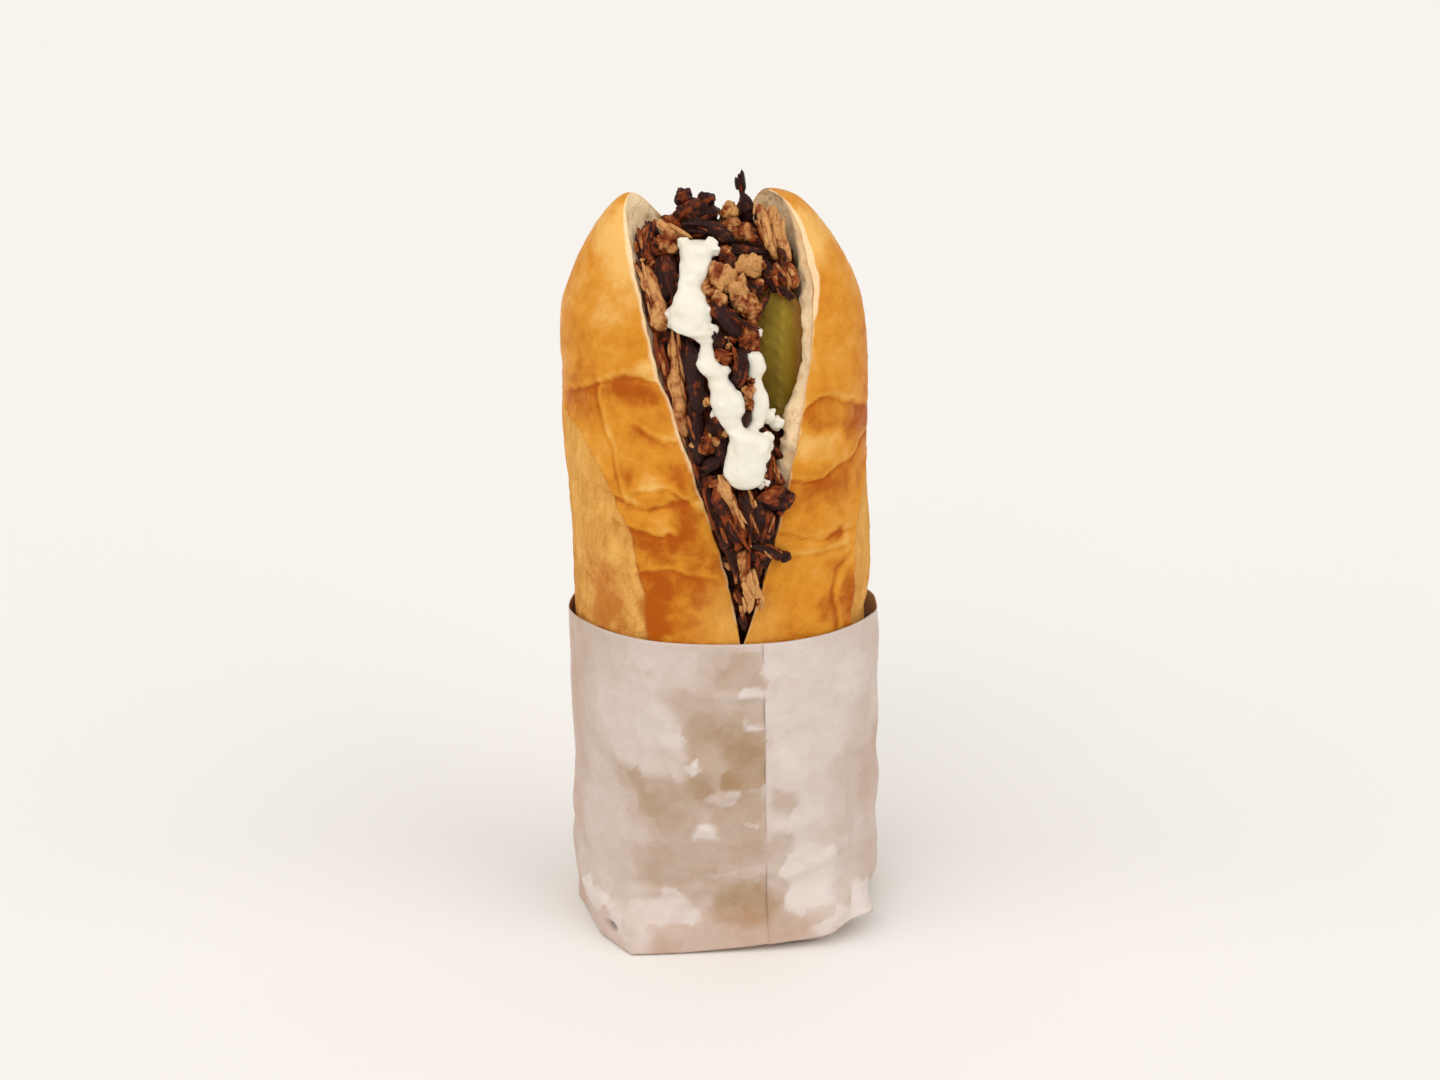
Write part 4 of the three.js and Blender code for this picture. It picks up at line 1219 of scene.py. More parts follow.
def chunk(centre, size, tone, seed, rows=26, columns=30, turn=(0, 0, 0)):
    """A lump of roast meat: a sphere pressed to three sizes, its radius made craggy by noise at three
    scales, r = 1 + a n(p) - b |n(2p)| + c n(4p)."""
    ball = unit_ball(rows, columns)
    place = ball * 3 + seed * 17.3
    crags = 0.36 * noise(place, 2.2, 91) - 0.34 * np.abs(noise(place, 1.1, 92))
    radius = 1.05 + (crags + 0.14 * noise(place, 0.5, 93))
    local = ball * radius[..., None] * np.asarray(size, float) / 2
    points = local @ turned(*turn).T + np.asarray(centre, float)
    shade = tone + 0.3 * noise(place, 1.6, 94) + 0.9 * (radius - 1)
    return sheet(points, flip=True, closed=True, tone=shade, grain=local + seed * 11.7)


# The pieces that show best, from the tips down, at places in the opening: (across, height), where across
# goes from the left lip at 0 to the right one at 1. A strip has a start, a middle and an end, how far it lies
# behind the heap's front, its width, its thickness, its tone (0 charred, 1 pale) and its edge's char. One
# dark strip is painted shade in a gap and one thin pale strip is a painted highlight.
STRIPS = [
    ((0.69, 187), (0.67, 191), (0.655, 195), 10, 2.0, 1.9, 0.10, 0.1),
    ((0.72, 184), (0.70, 187), (0.68, 190), 9, 2.8, 2.6, 0.08, 0.1),
    ((0.17, 185), (0.24, 183.5), (0.33, 182), 3, 2.8, 2.4, 0.90, 0.2),
    ((0.19, 186), (0.26, 185), (0.33, 183), 3.5, 1.4, 1.4, 0.35, 0.2),
    ((0.13, 185), (0.11, 181), (0.09, 177), 2.5, 2.6, 2.6, 0.20, 0.2),
    ((0.12, 184), (0.09, 181), (0.07, 177), 2.5, 3.2, 2.8, 0.46, 0.2),
    ((0.06, 182.5), (0.05, 180), (0.05, 176.5), 3, 2.4, 2.2, 0.20, 0.1),
    ((0.17, 178.5), (0.18, 174.5), (0.16, 169.5), 1.5, 5.4, 4.0, 0.02, 0.0),
    ((0.06, 176.5), (0.08, 170), (0.08, 162), 0.6, 4.6, 3.4, 0.84, 0.35),
    ((0.04, 177), (0.04, 170), (0.04, 161), 2.6, 3.0, 2.6, 0.22, 0.1),
    ((0.04, 160), (0.04, 148), (0.05, 136), 2.2, 2.6, 2.4, 0.16, 0.1),
    ((0.05, 137), (0.07, 126), (0.10, 114), 2.0, 2.4, 2.2, 0.12, 0.1),
    ((0.12, 116), (0.16, 109), (0.22, 102), 1.6, 2.0, 2.0, 0.12, 0.1),
    ((0.06, 175), (0.05, 169.5), (0.05, 164), 0.6, 1.4, 1.3, 0.30, 0.0),
    ((0.06, 159.5), (0.07, 152), (0.06, 146), 1.0, 2.0, 2.0, 0.26, 0.2),
    ((0.14, 160.5), (0.11, 149), (0.04, 136.5), 0.7, 3.6, 3.0, 0.78, 0.35),
    ((0.19, 160.5), (0.18, 155), (0.16, 149), 0.9, 1.6, 1.6, 0.30, 0.1),
    ((0.23, 160.5), (0.24, 151), (0.20, 142.5), 0.6, 4.8, 4.2, 0.05, 0.1),
    ((0.18, 146), (0.14, 138.5), (0.07, 130), 0.6, 3.8, 3.4, 0.05, 0.1),
    ((0.34, 136.5), (0.31, 134), (0.28, 131.5), 0.6, 2.0, 2.0, 0.02, 0.0),
    ((0.10, 129.5), (0.19, 130.5), (0.30, 132.5), 0.4, 3.4, 3.0, -0.05, 0.0),
    ((0.40, 169), (0.48, 165.5), (0.61, 161.5), 0.6, 5.2, 4.4, 0.04, 0.0),
    ((0.36, 184), (0.50, 183.5), (0.59, 181), 3, 4.2, 3.8, 0.08, 0.1),
    ((0.57, 180), (0.66, 179.5), (0.75, 179), 2.5, 2.8, 2.6, 0.05, 0.1),
    ((0.44, 180.5), (0.45, 179), (0.44, 177), 1.5, 2.0, 2.0, 0.03, 0.0),
    ((0.56, 179), (0.57, 177), (0.59, 175), 1.5, 2.4, 2.2, 0.28, 0.2),
    ((0.70, 184.5), (0.71, 182.5), (0.73, 181), 3, 2.6, 2.4, 0.60, 0.3),
    ((0.78, 185), (0.78, 182), (0.79, 179), 3.5, 2.2, 2.0, 0.35, 0.2),
    ((0.77, 188.5), (0.79, 185.5), (0.80, 182.5), 5, 3.0, 2.6, 0.92, 0.2),
    ((0.86, 188), (0.86, 184.5), (0.88, 181.5), 4, 3.2, 2.6, 0.88, 0.2),
    ((0.80, 185.5), (0.81, 181), (0.82, 177.5), 3, 2.6, 2.2, 0.95, 0.1),
    ((0.88, 185), (0.87, 181.5), (0.90, 177), 2.5, 3.2, 2.4, 1.00, 0.1),
    ((0.86, 179.5), (0.87, 178), (0.85, 176), 1.5, 2.0, 1.8, 0.28, 0.2),
    ((0.88, 177), (0.89, 174.5), (0.89, 171.5), 1.5, 3.2, 2.6, 0.70, 0.3),
    ((0.82, 177), (0.83, 174.5), (0.84, 172), 2, 3.0, 2.6, 0.40, 0.3),
    ((0.75, 177.5), (0.77, 174), (0.77, 170.5), 2, 3.6, 3.2, 0.14, 0.1),
    ((0.80, 172), (0.84, 171), (0.89, 169.5), 0.6, 1.6, 1.5, 0.04, 0.0),
    ((0.40, 162.5), (0.42, 161), (0.47, 159), 1.2, 4.6, 4.0, 0.00, 0.0),
    ((0.39, 158), (0.44, 157), (0.50, 155.5), 1, 3.2, 2.8, 0.50, 0.3),
    ((0.54, 158.5), (0.55, 154), (0.51, 150), 0.6, 3.4, 3.2, 0.05, 0.1),
    # Painted shade: a dark strip put in the shadowed gap between the sauce's pool and its side run.
    ((0.58, 143.5), (0.56, 142), (0.54, 140), 0.4, 2.2, 2.0, 0.03, 0.0),
    ((0.11, 127), (0.19, 127), (0.28, 127.5), 0, 2.8, 2.6, 0.50, 0.3),
    ((0.22, 126), (0.31, 118.5), (0.43, 111), 0, 6.0, 4.4, 0.46, 0.3),
    ((0.29, 128.5), (0.34, 123.5), (0.44, 117.5), -1.2, 3.0, 2.4, 0.98, 0.2),
    ((0.12, 124.5), (0.14, 116), (0.20, 108.5), 0.2, 3.2, 3.0, 0.06, 0.1),
    ((0.22, 110.5), (0.28, 105.5), (0.28, 101), 0, 3.0, 2.6, -0.08, 0.0),
    ((0.45, 109.5), (0.44, 105), (0.44, 101), 0, 2.8, 2.6, 0.62, 0.2),
    ((0.77, 131.5), (0.86, 128), (0.95, 125.5), 0, 2.2, 2.0, 0.40, 0.3),
    # Painted highlight: a thin pale strip between the two strands.
    ((0.80, 130.5), (0.86, 129), (0.90, 127), -0.4, 1.2, 1.2, 0.95, 0.1),
    ((0.74, 130), (0.77, 127.5), (0.79, 125), 0.2, 2.2, 2.0, 0.45, 0.3),
    ((0.50, 124), (0.55, 118), (0.60, 111.5), 0.2, 3.4, 3.2, 0.22, 0.2),
    ((0.66, 122), (0.70, 117), (0.71, 111.5), 0, 3.8, 3.4, 0.10, 0.1),
    ((0.58, 124.5), (0.60, 122), (0.60, 119.5), -0.2, 1.8, 1.6, 0.55, 0.2),
    ((0.80, 119.5), (0.81, 116), (0.79, 112.5), 0.2, 3.0, 2.8, 0.28, 0.2),
    ((0.60, 111), (0.93, 109), (1.24, 107), -0.6, 3.2, 2.8, 0.28, 0.3),
    ((0.66, 109.5), (0.74, 105.5), (0.80, 102.5), -0.2, 2.0, 1.9, 0.20, 0.1),
    ((0.58, 104.5), (0.74, 100), (1.02, 96.5), -0.8, 2.6, 2.3, 1.15, 0.0),
    ((1.00, 97.5), (1.07, 96), (1.08, 94.5), -1.0, 1.9, 1.8, 0.66, 0.2),
    ((0.42, 101.5), (0.62, 97), (0.68, 93), -0.9, 2.8, 2.2, 1.15, 0.0),
    ((0.18, 98.5), (0.30, 96.5), (0.45, 95), -0.2, 2.2, 2.0, 0.12, 0.0),
    ((0.35, 95), (0.38, 93.5), (0.42, 92), -0.3, 1.4, 1.3, 0.80, 0.1),
    ((0.30, 92.5), (0.45, 90), (0.50, 87.5), 0.3, 1.3, 1.2, 0.02, 0.0),
]

STRIP_ARCH = (0.0, 0.7, 0.0)  # how far each strip's start, middle and end stand forward

# Lumps, also at places in the opening: how far behind the heap's front, size along three axes, tone, and how
# far it is turned about the vertical.
CHUNKS = [
    ((0.41, 186), 8, (9.5, 7.5, 7.5), -0.08, 10),
    ((0.33, 190), 8, (4.4, 4.2, 4.6), -0.08, 40),
    ((0.46, 189), 8, (4.6, 4.4, 5.0), -0.08, 75),
    ((0.42, 183.5), 6, (10.5, 7.5, 6.0), 0.02, 20),
    ((0.29, 185), 6, (3.6, 4.0, 5.0), 0.38, 50),
    ((0.59, 186), 8, (5.0, 4.2, 5.4), 0.78, 60),
    ((0.62, 186), 7, (2.6, 2.6, 3.0), 1.05, 20),
    ((0.69, 186.5), 8, (4.0, 4.5, 6.4), 0.06, 30),
    ((0.60, 183.5), 4, (6.0, 4.5, 4.5), 0.50, 15),
    ((0.66, 182.5), 4, (6.0, 4.5, 4.0), 0.42, 10),
    ((0.86, 183.5), 2, (1.6, 1.4, 2.0), 0.20, 0),
    ((0.20, 180.5), 1.8, (7.0, 5.6, 6.2), 0.44, 15),
    ((0.10, 177), 1.5, (2.6, 2.4, 3.0), 0.50, 0),
    ((0.53, 178.5), 2.5, (4.4, 4.0, 4.6), 0.42, 20),
    ((0.46, 174.5), 0.4, (6.6, 5.0, 7.6), 0.70, -35),
    ((0.52, 174), 0.8, (4.6, 4.4, 6.6), 0.95, 10),
    ((0.40, 171.5), 0.6, (4.8, 4.4, 6.4), 0.52, 10),
    ((0.45, 169.5), 0.4, (4.4, 4.2, 4.6), 0.58, 30),
    ((0.57, 171.5), 0.4, (4.8, 4.6, 8.6), 0.98, 10),
    ((0.66, 176.5), 0.6, (7.2, 5.0, 6.4), 0.95, 0),
    ((0.66, 172), 0.6, (4.4, 4.4, 5.0), 0.34, 0),
    ((0.63, 168), 0.6, (7.0, 5.0, 7.0), 0.66, 15),
    ((0.59, 167.5), 0.2, (2.2, 2.0, 3.0), 1.05, 0),
    ((0.61, 161.5), 1, (6.0, 4.8, 7.0), 0.30, 20),
    ((0.53, 161.5), 1.6, (4.4, 4.0, 5.0), 0.30, 20),
    ((0.61, 158), 2, (4.6, 4.0, 3.6), 0.40, 0),
    ((0.60, 148), 0.8, (3.6, 3.4, 4.4), 0.72, 30),
    ((0.59, 145), 0.8, (2.8, 2.6, 2.8), 0.50, 30),
    ((0.63, 150.5), 1, (2.8, 2.6, 2.4), 0.45, 60),
    ((0.31, 140), 0.2, (5.4, 4.4, 5.0), 0.14, 20),
    ((0.22, 136), 0.2, (5.0, 4.4, 6.0), 0.34, 10),
    ((0.85, 122), -0.4, (8.6, 5.0, 5.6), 0.10, 10),
    ((1.01, 121.5), -0.6, (3.8, 3.8, 5.6), 0.07, 50),
    ((0.97, 119.5), -0.2, (3.0, 3.0, 3.4), 0.10, 20),
    ((0.79, 113.5), -0.4, (3.6, 3.4, 3.8), 0.06, 50),
    ((1.24, 107), -0.8, (4.2, 3.0, 3.0), -0.15, 30),
]


def in_opening(across, height, behind=0.0):
    """A place in the opening, so far across it from lip to lip, at a height, and so far behind the heap's
    front. Over the brim it goes straight up."""
    level = np.minimum(height, HEAP.brim)
    return heap_point(across, 0, level) + np.array([0, behind, height - level])


# How often a loose shred has each tone, and the tones of the crumbs of meat.
SHRED_TONES = {0.06: 0.38, 0.16: 0.28, 0.3: 0.16, 0.5: 0.11, 0.75: 0.07}
BIT_TONES = [0.04, 0.3, 0.6, 0.9]


def loose_shreds(settings, rng):
    """Small shreds strewn over the front of the heap and over its top, each along the heap but askew, with a
    loose fibre, and crumbs of meat over the front."""
    parts = []
    # How many, and the ranges of their way across, their depth, their height and their length.
    regions = [
        (settings.front_shreds, (0.06, 0.94), (0.02, 0.18), (108, 178), (6, 13)),
        (settings.top_shreds, (0.05, 0.95), (0.24, 0.94), (172, 185), (5, 11)),
    ]
    for count, across, deep, heights, lengths in regions:
        for _ in range(count):
            t, depth, z = rng.uniform(*across), rng.uniform(*deep), rng.uniform(*heights)
            length, lean = rng.uniform(*lengths), rng.normal(0, 0.45)
            start = clear_gherkin(heap_point(t, depth, z))
            low = z - length * math.cos(lean)
            room = (heap_point(1, depth, low) - heap_point(0, depth, low))[0]
            t_end = np.clip(t + 0.7 * length * math.sin(lean) / max(room, 4), 0.06, 0.94)
            end = clear_gherkin(heap_point(t_end, depth, low))
            sway = min(1.3, 0.06 * room)
            middle = (start + end) / 2 + [rng.normal(0, sway), -rng.uniform(0, 2.0), rng.normal(0, 1)]
            width = rng.uniform(1.4, 3.8)
            tone = rng.choice(list(SHRED_TONES), p=list(SHRED_TONES.values()))
            face = [rng.normal(0, 0.4), -1, rng.normal(0, 0.4)]
            path, thickness = (start, middle, end), width * rng.uniform(0.5, 0.85)
            seed, twist = rng.integers(1000) / 7, rng.normal(0, 50)
            parts.append(shred(path, width, thickness, tone, seed, 9, 7, face, twist, char=0.4))
            parts += fibres(path, width, thickness, tone, rng, 1, face, rows=6, columns=4)
    for _ in range(settings.bits):
        t, depth, z = rng.uniform(0.04, 0.82), rng.uniform(-0.02, 0.06), rng.uniform(104, 181)
        place = clear_gherkin(heap_point(t, depth, z), 0.4)
        size, tone = rng.uniform(0.9, 2.6) * rng.uniform(0.7, 1.3, 3), rng.choice(BIT_TONES)
        seed, turn = rng.integers(1000) / 7, rng.uniform(0, 180, 3)
        parts.append(chunk(place, size, tone, seed, rows=7, columns=7, turn=turn))
    return parts


def gherkin_parts():
    """The gherkin slice: a long slab with rounded ends, from a superellipsoid. Its cut side faces front and
    left, its rim is the bumpy rind, and seeds swell under the middle of the cut."""
    rows, columns = GRID.gherkin
    phi = full_turn(columns)
    height = np.cos(math.pi * np.linspace(0, 1, rows)[:, None])
    swell = np.sqrt(np.clip(1 - np.abs(height) ** 2.6, 0, 1))
    across, out = (signed_power(wave, 0.7) * swell for wave in (np.cos(phi), np.sin(phi)))
    x = across * GHERKIN.width / 2
    z = height * GHERKIN.length / 2 * np.ones_like(phi)
    slab = stack(x, out * GHERKIN.thickness / 2 + GHERKIN.cup * (1 - height**2), z)
    rim = smooth((np.hypot(across, np.abs(height) ** 2) - 0.62) / 0.3) * smooth((0.9 - np.abs(out)) / 0.5)
    seeds = seed_relief(x, z) * smooth((np.abs(out) - 0.5) * 3)
    relief = 0.35 * fractal(slab, 5, 2, 101) + 0.45 * rim * fractal(slab, 2.6, 2, 102) + 0.35 * seeds
    relief = relief - 0.5 * smooth((np.abs(out) - 0.6) * 3) * bump(across / 0.8)
    shaped = push(slab, relief * clamp01(swell * 3), flip=True, closed=True)
    points = shaped @ turned(0, GHERKIN.tilt, -GHERKIN.turn).T + np.array(GHERKIN.centre)
    return [sheet(points, flip=True, closed=True, rind=rim, seeds=seeds, across=across * np.ones_like(z))]


def seed_relief(x, z):
    """Two files of flat oval seeds along the slice's middle: bumps at every few millimetres, in turn left
    and right of its axis."""
    spacing, aside = 3.4, 2.9
    total = np.zeros(np.broadcast(x, z).shape)
    for side, offset in ((-1, 0.0), (1, 0.5)):
        nearest = (np.round(z / spacing - offset) + offset) * spacing
        total = total + bump(np.minimum(1, np.hypot((x - side * aside) / 1.7, (z - nearest) / 1.0)))
    return total


# Sauce: runs down the opening, each as how far it lies behind the heap's front and its places from the top
# down, (across, height, half its width): fat where it pooled and thin where it ran.
SAUCE_RUNS = [
    (-0.6, [
        (0.39, 182, 3.6), (0.38, 180.5, 4.2), (0.36, 178, 3.8), (0.33, 175, 3.3), (0.30, 173, 3.0),
        (0.28, 170, 4.0), (0.27, 167, 4.6), (0.27, 165, 5.0), (0.27, 163, 4.7), (0.34, 161, 2.4),
        (0.35, 159.5, 1.4), (0.34, 157, 1.8), (0.34, 155, 3.0), (0.37, 153.5, 3.2), (0.40, 151.5, 2.4),
        (0.42, 149.5, 3.2), (0.43, 146.5, 4.1), (0.43, 144, 3.9), (0.43, 142, 3.0), (0.46, 140, 2.6),
        (0.55, 138.5, 4.2), (0.59, 137, 5.2), (0.58, 134.5, 5.4), (0.54, 131.5, 5.2), (0.53, 129, 5.1),
        (0.54, 127, 4.2), (0.52, 125, 2.4),
    ]),
    (1.4, [
        (0.63, 158, 1.6), (0.64, 156, 2.5), (0.65, 153.5, 2.5), (0.65, 151, 1.7), (0.66, 149, 1.8),
        (0.67, 146.5, 2.3), (0.67, 144.5, 2.3), (0.66, 142.5, 2.0), (0.65, 141, 1.8), (0.62, 139, 2.4),
    ]),
]

# Dabs beside the runs, as (across, height), how far behind the heap's front, and radius.
SAUCE_DABS = [
    ((0.31, 181.5), -0.4, 1.4),
    ((0.47, 181.5), -0.4, 1.5),
    ((0.48, 180), -0.4, 1.2),
    ((0.17, 166.5), -0.2, 1.8),
    ((0.17, 164), -0.2, 1.6),
    ((0.38, 167.5), -0.4, 1.3),
    ((0.39, 163), -0.4, 1.5),
    ((0.29, 156), -0.2, 1.2),
    ((0.45, 153.5), -0.4, 1.2),
    ((0.52, 147.5), -0.4, 1.2),
    ((0.33, 143), -0.2, 1.3),
    ((0.73, 137.5), 0.0, 1.6),
    ((0.75, 135.5), 0.2, 1.4),
    ((0.70, 129.5), -0.2, 1.4),
    ((0.36, 127.5), -0.4, 1.5),
    ((0.72, 126.5), -0.4, 1.6),
    ((0.66, 161.5), 2.0, 1.6),
    ((0.73, 141.5), 2.6, 2.0),
    ((0.80, 139.5), 3.4, 1.8),
]


def dollop_parts():
    """The sauce before it is made one skin: flattened tubes whose half-width eases from place to place of
    each run, r = w (1 + n), and lumpy dabs beside them, each a ball with r = 1 + n."""
    parts = []
    for behind, run in SAUCE_RUNS:
        places = np.array([in_opening(across, height, behind) for across, height, _ in run])
        widths = np.array([half_width for *_, half_width in run])
        t = np.linspace(0, len(places) - 1, 6 * len(places))
        line = np.stack([np.interp(t, np.arange(len(places)), axis) for axis in places.T], axis=-1)
        before = np.minimum(t.astype(int), len(places) - 2)
        ends = np.sqrt(clamp01(1 - (1 - clamp01(np.minimum(t, t[-1] - t) / 0.5)) ** 2))
        wide = (lerp(widths[before], widths[before + 1], smooth(t - before)) * ends)[:, None]
        deep = np.minimum(wide * 0.75, 2.2 + 0.25 * wide)
        across, out = (signed_power(wave(full_turn(GRID.tube)), 0.85) for wave in (np.cos, np.sin))
        around = stack(across * wide, out * deep, 0 * wide)
        lumpy = 1 + 0.2 * fractal(around + line[:, None], 2.6, 3, 111)
        parts.append(sheet(around * lumpy[..., None] + line[:, None], closed=True))
    ball = unit_ball(*GRID.ball) * [1, 0.7, 1]
    for n, (place, behind, radius) in enumerate(SAUCE_DABS):
        lumpy = 1.05 + 0.5 * noise(ball * 2 + n * 5.1, 1.1, 112)
        middle = in_opening(*place, behind)
        parts.append(sheet(ball * (radius * lumpy)[..., None] + middle, flip=True, closed=True))
    return parts


# -------------------------------------------------------------------------------------------------
# Materials
# -------------------------------------------------------------------------------------------------
def linear(shown):
    """A display colour as the light that Blender reckons with."""
    c = np.array(shown[:3], float)
    return (*np.where(c <= 0.04045, c / 12.92, ((c + 0.055) / 1.055) ** 2.4), 1.0)


class Nodes:
    """A node tree with short ways to add to it. An input is a plain value, another node's output, or the
    name of one of the colours in the settings."""

    def __init__(self, tree, settings=None):
        self.tree, self.settings = tree, settings

    def put(self, node, inputs):
        """Sets or links a node's inputs, and gives back its outputs."""
        for key, value in inputs.items():
            if isinstance(value, str):
                value = linear(getattr(self.settings, value))
            if isinstance(value, bpy.types.NodeSocket):
                self.tree.links.new(value, node.inputs[key])
            else:
                node.inputs[key].default_value = value
        return node.outputs

    def add(self, kind, inputs=None, **settings):
        """Adds a node of a kind, with its settings and its inputs."""
        node = self.tree.nodes.new("ShaderNode" + kind)
        for key, value in settings.items():
            setattr(node, key, value)
        return self.put(node, inputs or {})

    def maths(self, operation, a, b=0.0, c=0.0, clamped=False):
        return self.add("Math", {0: a, 1: b, 2: c}, operation=operation, use_clamp=clamped)[0]

    def times(self, a, b):
        return self.maths("MULTIPLY", a, b)

    def line(self, x, slope, start):
        """A straight line: slope x + start."""
        return self.maths("MULTIPLY_ADD", x, slope, start)

    def mix(self, share_of_b, a, b):
        """One colour turning into another."""
        return self.add("Mix", {0: share_of_b, 6: a, 7: b}, data_type="RGBA")[2]

    def between(self, value, low, high, new_low=0.0, new_high=1.0):
        """A value's share of the way from low to high, as a share of the way from new_low to new_high."""
        inputs = {"Value": value, "From Min": low, "From Max": high, "To Min": new_low, "To Max": new_high}
        return self.add("MapRange", inputs, interpolation_type="SMOOTHSTEP")["Result"]

    def noise(self, vector, scale, detail, roughness, distortion=0.0):
        inputs = {"Scale": scale, "Detail": detail, "Roughness": roughness, "Distortion": distortion}
        return self.add("TexNoise", {"Vector": vector, **inputs})["Fac"]

    def read(self, *names):
        """The values that the mesh carries under these names."""
        return [self.add("Attribute", attribute_name=name)["Fac"] for name in names]

    def place(self):
        return self.add("TexCoord")["Object"]

    def stretched(self, vector, scale):
        return self.add("Mapping", {"Vector": vector, "Scale": scale})["Vector"]

    def mottle(self, vector, size):
        return self.add("Group", {"Vector": vector, "Size": size}, node_tree=shared("Mottle", mottle_group))

    def relief(self, vector, size, pits=0.0):
        inputs = {"Vector": vector, "Size": size, "Pits": pits}
        return self.add("Group", inputs, node_tree=shared("Fine relief", relief_group))["Height"]

    def bumps(self, height, distance, strength):
        return self.add("Bump", {"Height": height, "Distance": distance, "Strength": strength})[0]


def shared(name, make):
    """A node group that several materials share, made once."""
    return bpy.data.node_groups.get(name) or make(name)


def new_group(name, inputs, outputs):
    """An empty node group whose sockets are numbers with default values, but for the first, a vector: its
    nodes, and the outputs and inputs inside it."""
    tree = bpy.data.node_groups.new(name, "ShaderNodeTree")
    tree.interface.new_socket("Vector", in_out="INPUT", socket_type="NodeSocketVector")
    for label, default in inputs.items():
        socket = tree.interface.new_socket(label, in_out="INPUT", socket_type="NodeSocketFloat")
        socket.default_value = default
    for label in outputs:
        tree.interface.new_socket(label, in_out="OUTPUT", socket_type="NodeSocketFloat")
    return Nodes(tree), tree.nodes.new("NodeGroupInput").outputs, tree.nodes.new("NodeGroupOutput")


def mottle_group(name):
    """Cloudy unevenness at two scales, for anything baked, roast or handled. Size is the clouds' width."""
    n, given, made = new_group(name, {"Size": 0.01}, ["Clouds", "Specks"])
    scale = n.maths("DIVIDE", 1.0, given["Size"])
    clouds = n.noise(given["Vector"], scale, 4, 0.6, 0.4)
    specks = n.noise(given["Vector"], n.times(scale, 9), 2, 0.5)
    n.put(made, {"Clouds": n.between(clouds, 0.3, 0.7), "Specks": n.between(specks, 0.60, 0.74)})
    return n.tree


def relief_group(name):
    """Fine relief for a bump: soft grain of a given width, with small pits where Pits is above 0."""
    n, given, made = new_group(name, {"Size": 0.001, "Pits": 0.0}, ["Height"])
    scale = n.maths("DIVIDE", 1.0, given["Size"])
    grain = n.noise(given["Vector"], scale, 5, 0.6)
    cells = n.add("TexVoronoi", {"Vector": given["Vector"], "Scale": scale})["Distance"]
    pits = n.times(n.between(cells, 0.05, 0.4, 1, 0), given["Pits"])
    n.put(made, {"Height": n.maths("SUBTRACT", grain, pits)})
    return n.tree


def material_nodes(name, settings):
    """A new material, and its nodes."""
    material = bpy.data.materials.new(name)
    material.use_nodes = True
    return material, Nodes(material.node_tree, settings)


def finished(material, n, colour, roughness, normal, scatter=(), **rest):
    """Sets or links the sockets of the material's own shader. scatter is the light that goes under the
    surface: its weight, its radius for red, green and blue, and its scale. The rest go by their names."""
    inputs = {"Base Color": colour, "Roughness": roughness, "Normal": normal}
    inputs |= zip(("Subsurface Weight", "Subsurface Radius", "Subsurface Scale"), scatter)
    inputs |= {key.replace("_", " "): value for key, value in rest.items()}
    n.put(material.node_tree.nodes["Principled BSDF"], inputs)
    return material


def bread_material(settings):
    """Glossy golden crust, paler and rougher where it burst, and porous crumb where it is cut. Painted shade
    darkens the crumb in its pores and the crust below its creases, and painted highlights lighten the crust
    above the creases and on the left tip.
    """
    material, n = material_nodes("Bread", settings)
    place = n.place()
    toast, burst, crumb, depth = n.read("toast", "burst", "crumb", "depth")
    clouds, fine, tiny = (n.mottle(place, size) for size in (0.009, 0.0032, 0.0014))
    # The browning read here also carries the creases' painted shade and highlights, and the left tip's painted
    # highlight.
    brown = n.maths("ADD", toast, n.line(clouds["Clouds"], 0.24, -0.12))
    brown = n.maths("ADD", brown, n.line(fine["Clouds"], 0.16, -0.08), clamped=True)
    crust = n.mix(n.between(brown, 0.0, 0.55), "pale", "golden")
    crust = n.mix(n.between(brown, 0.45, 1.0), crust, "toasted")
    streaks = n.noise(n.stretched(place, (1, 1, 0.5)), 240, 5, 0.7, 0.4)
    torn = n.mix(n.between(streaks, 0.35, 0.7), "burst", "pale")
    torn = n.mix(n.between(brown, 0.62, 1.3), torn, "toasted")
    torn = n.mix(n.times(fine["Specks"], 0.55), torn, "toasted")
    skin = n.mix(n.times(burst, 0.85), crust, torn)
    # Painted shade: the crumb darker inside its pores.
    inside = n.mix(n.times(depth, 0.5), "crumb", "burst")
    inside = n.mix(n.times(tiny["Clouds"], 0.14), inside, "burst")
    inside = n.mix(n.times(fine["Clouds"], 0.14), inside, "pale")
    inside = n.mix(n.between(toast, 0.5, 1.0, 0.0, 0.7), inside, "pale")
    soft = n.maths("MAXIMUM", burst, crumb)
    return finished(
        material, n, n.mix(crumb, skin, inside),
        roughness=n.line(clouds["Clouds"], 0.12, n.line(soft, 0.34, 0.4)),
        normal=n.bumps(n.relief(place, 0.0011, n.times(soft, 0.7)), 0.0003, 0.8),
        scatter=(n.line(crumb, 0.1, 0.05), (0.003, 0.0018, 0.001), 0.6),
        Sheen_Weight=n.times(crumb, 0.9), Sheen_Roughness=0.6, Sheen_Tint="crumb", Specular_IOR_Level=0.1,
    )


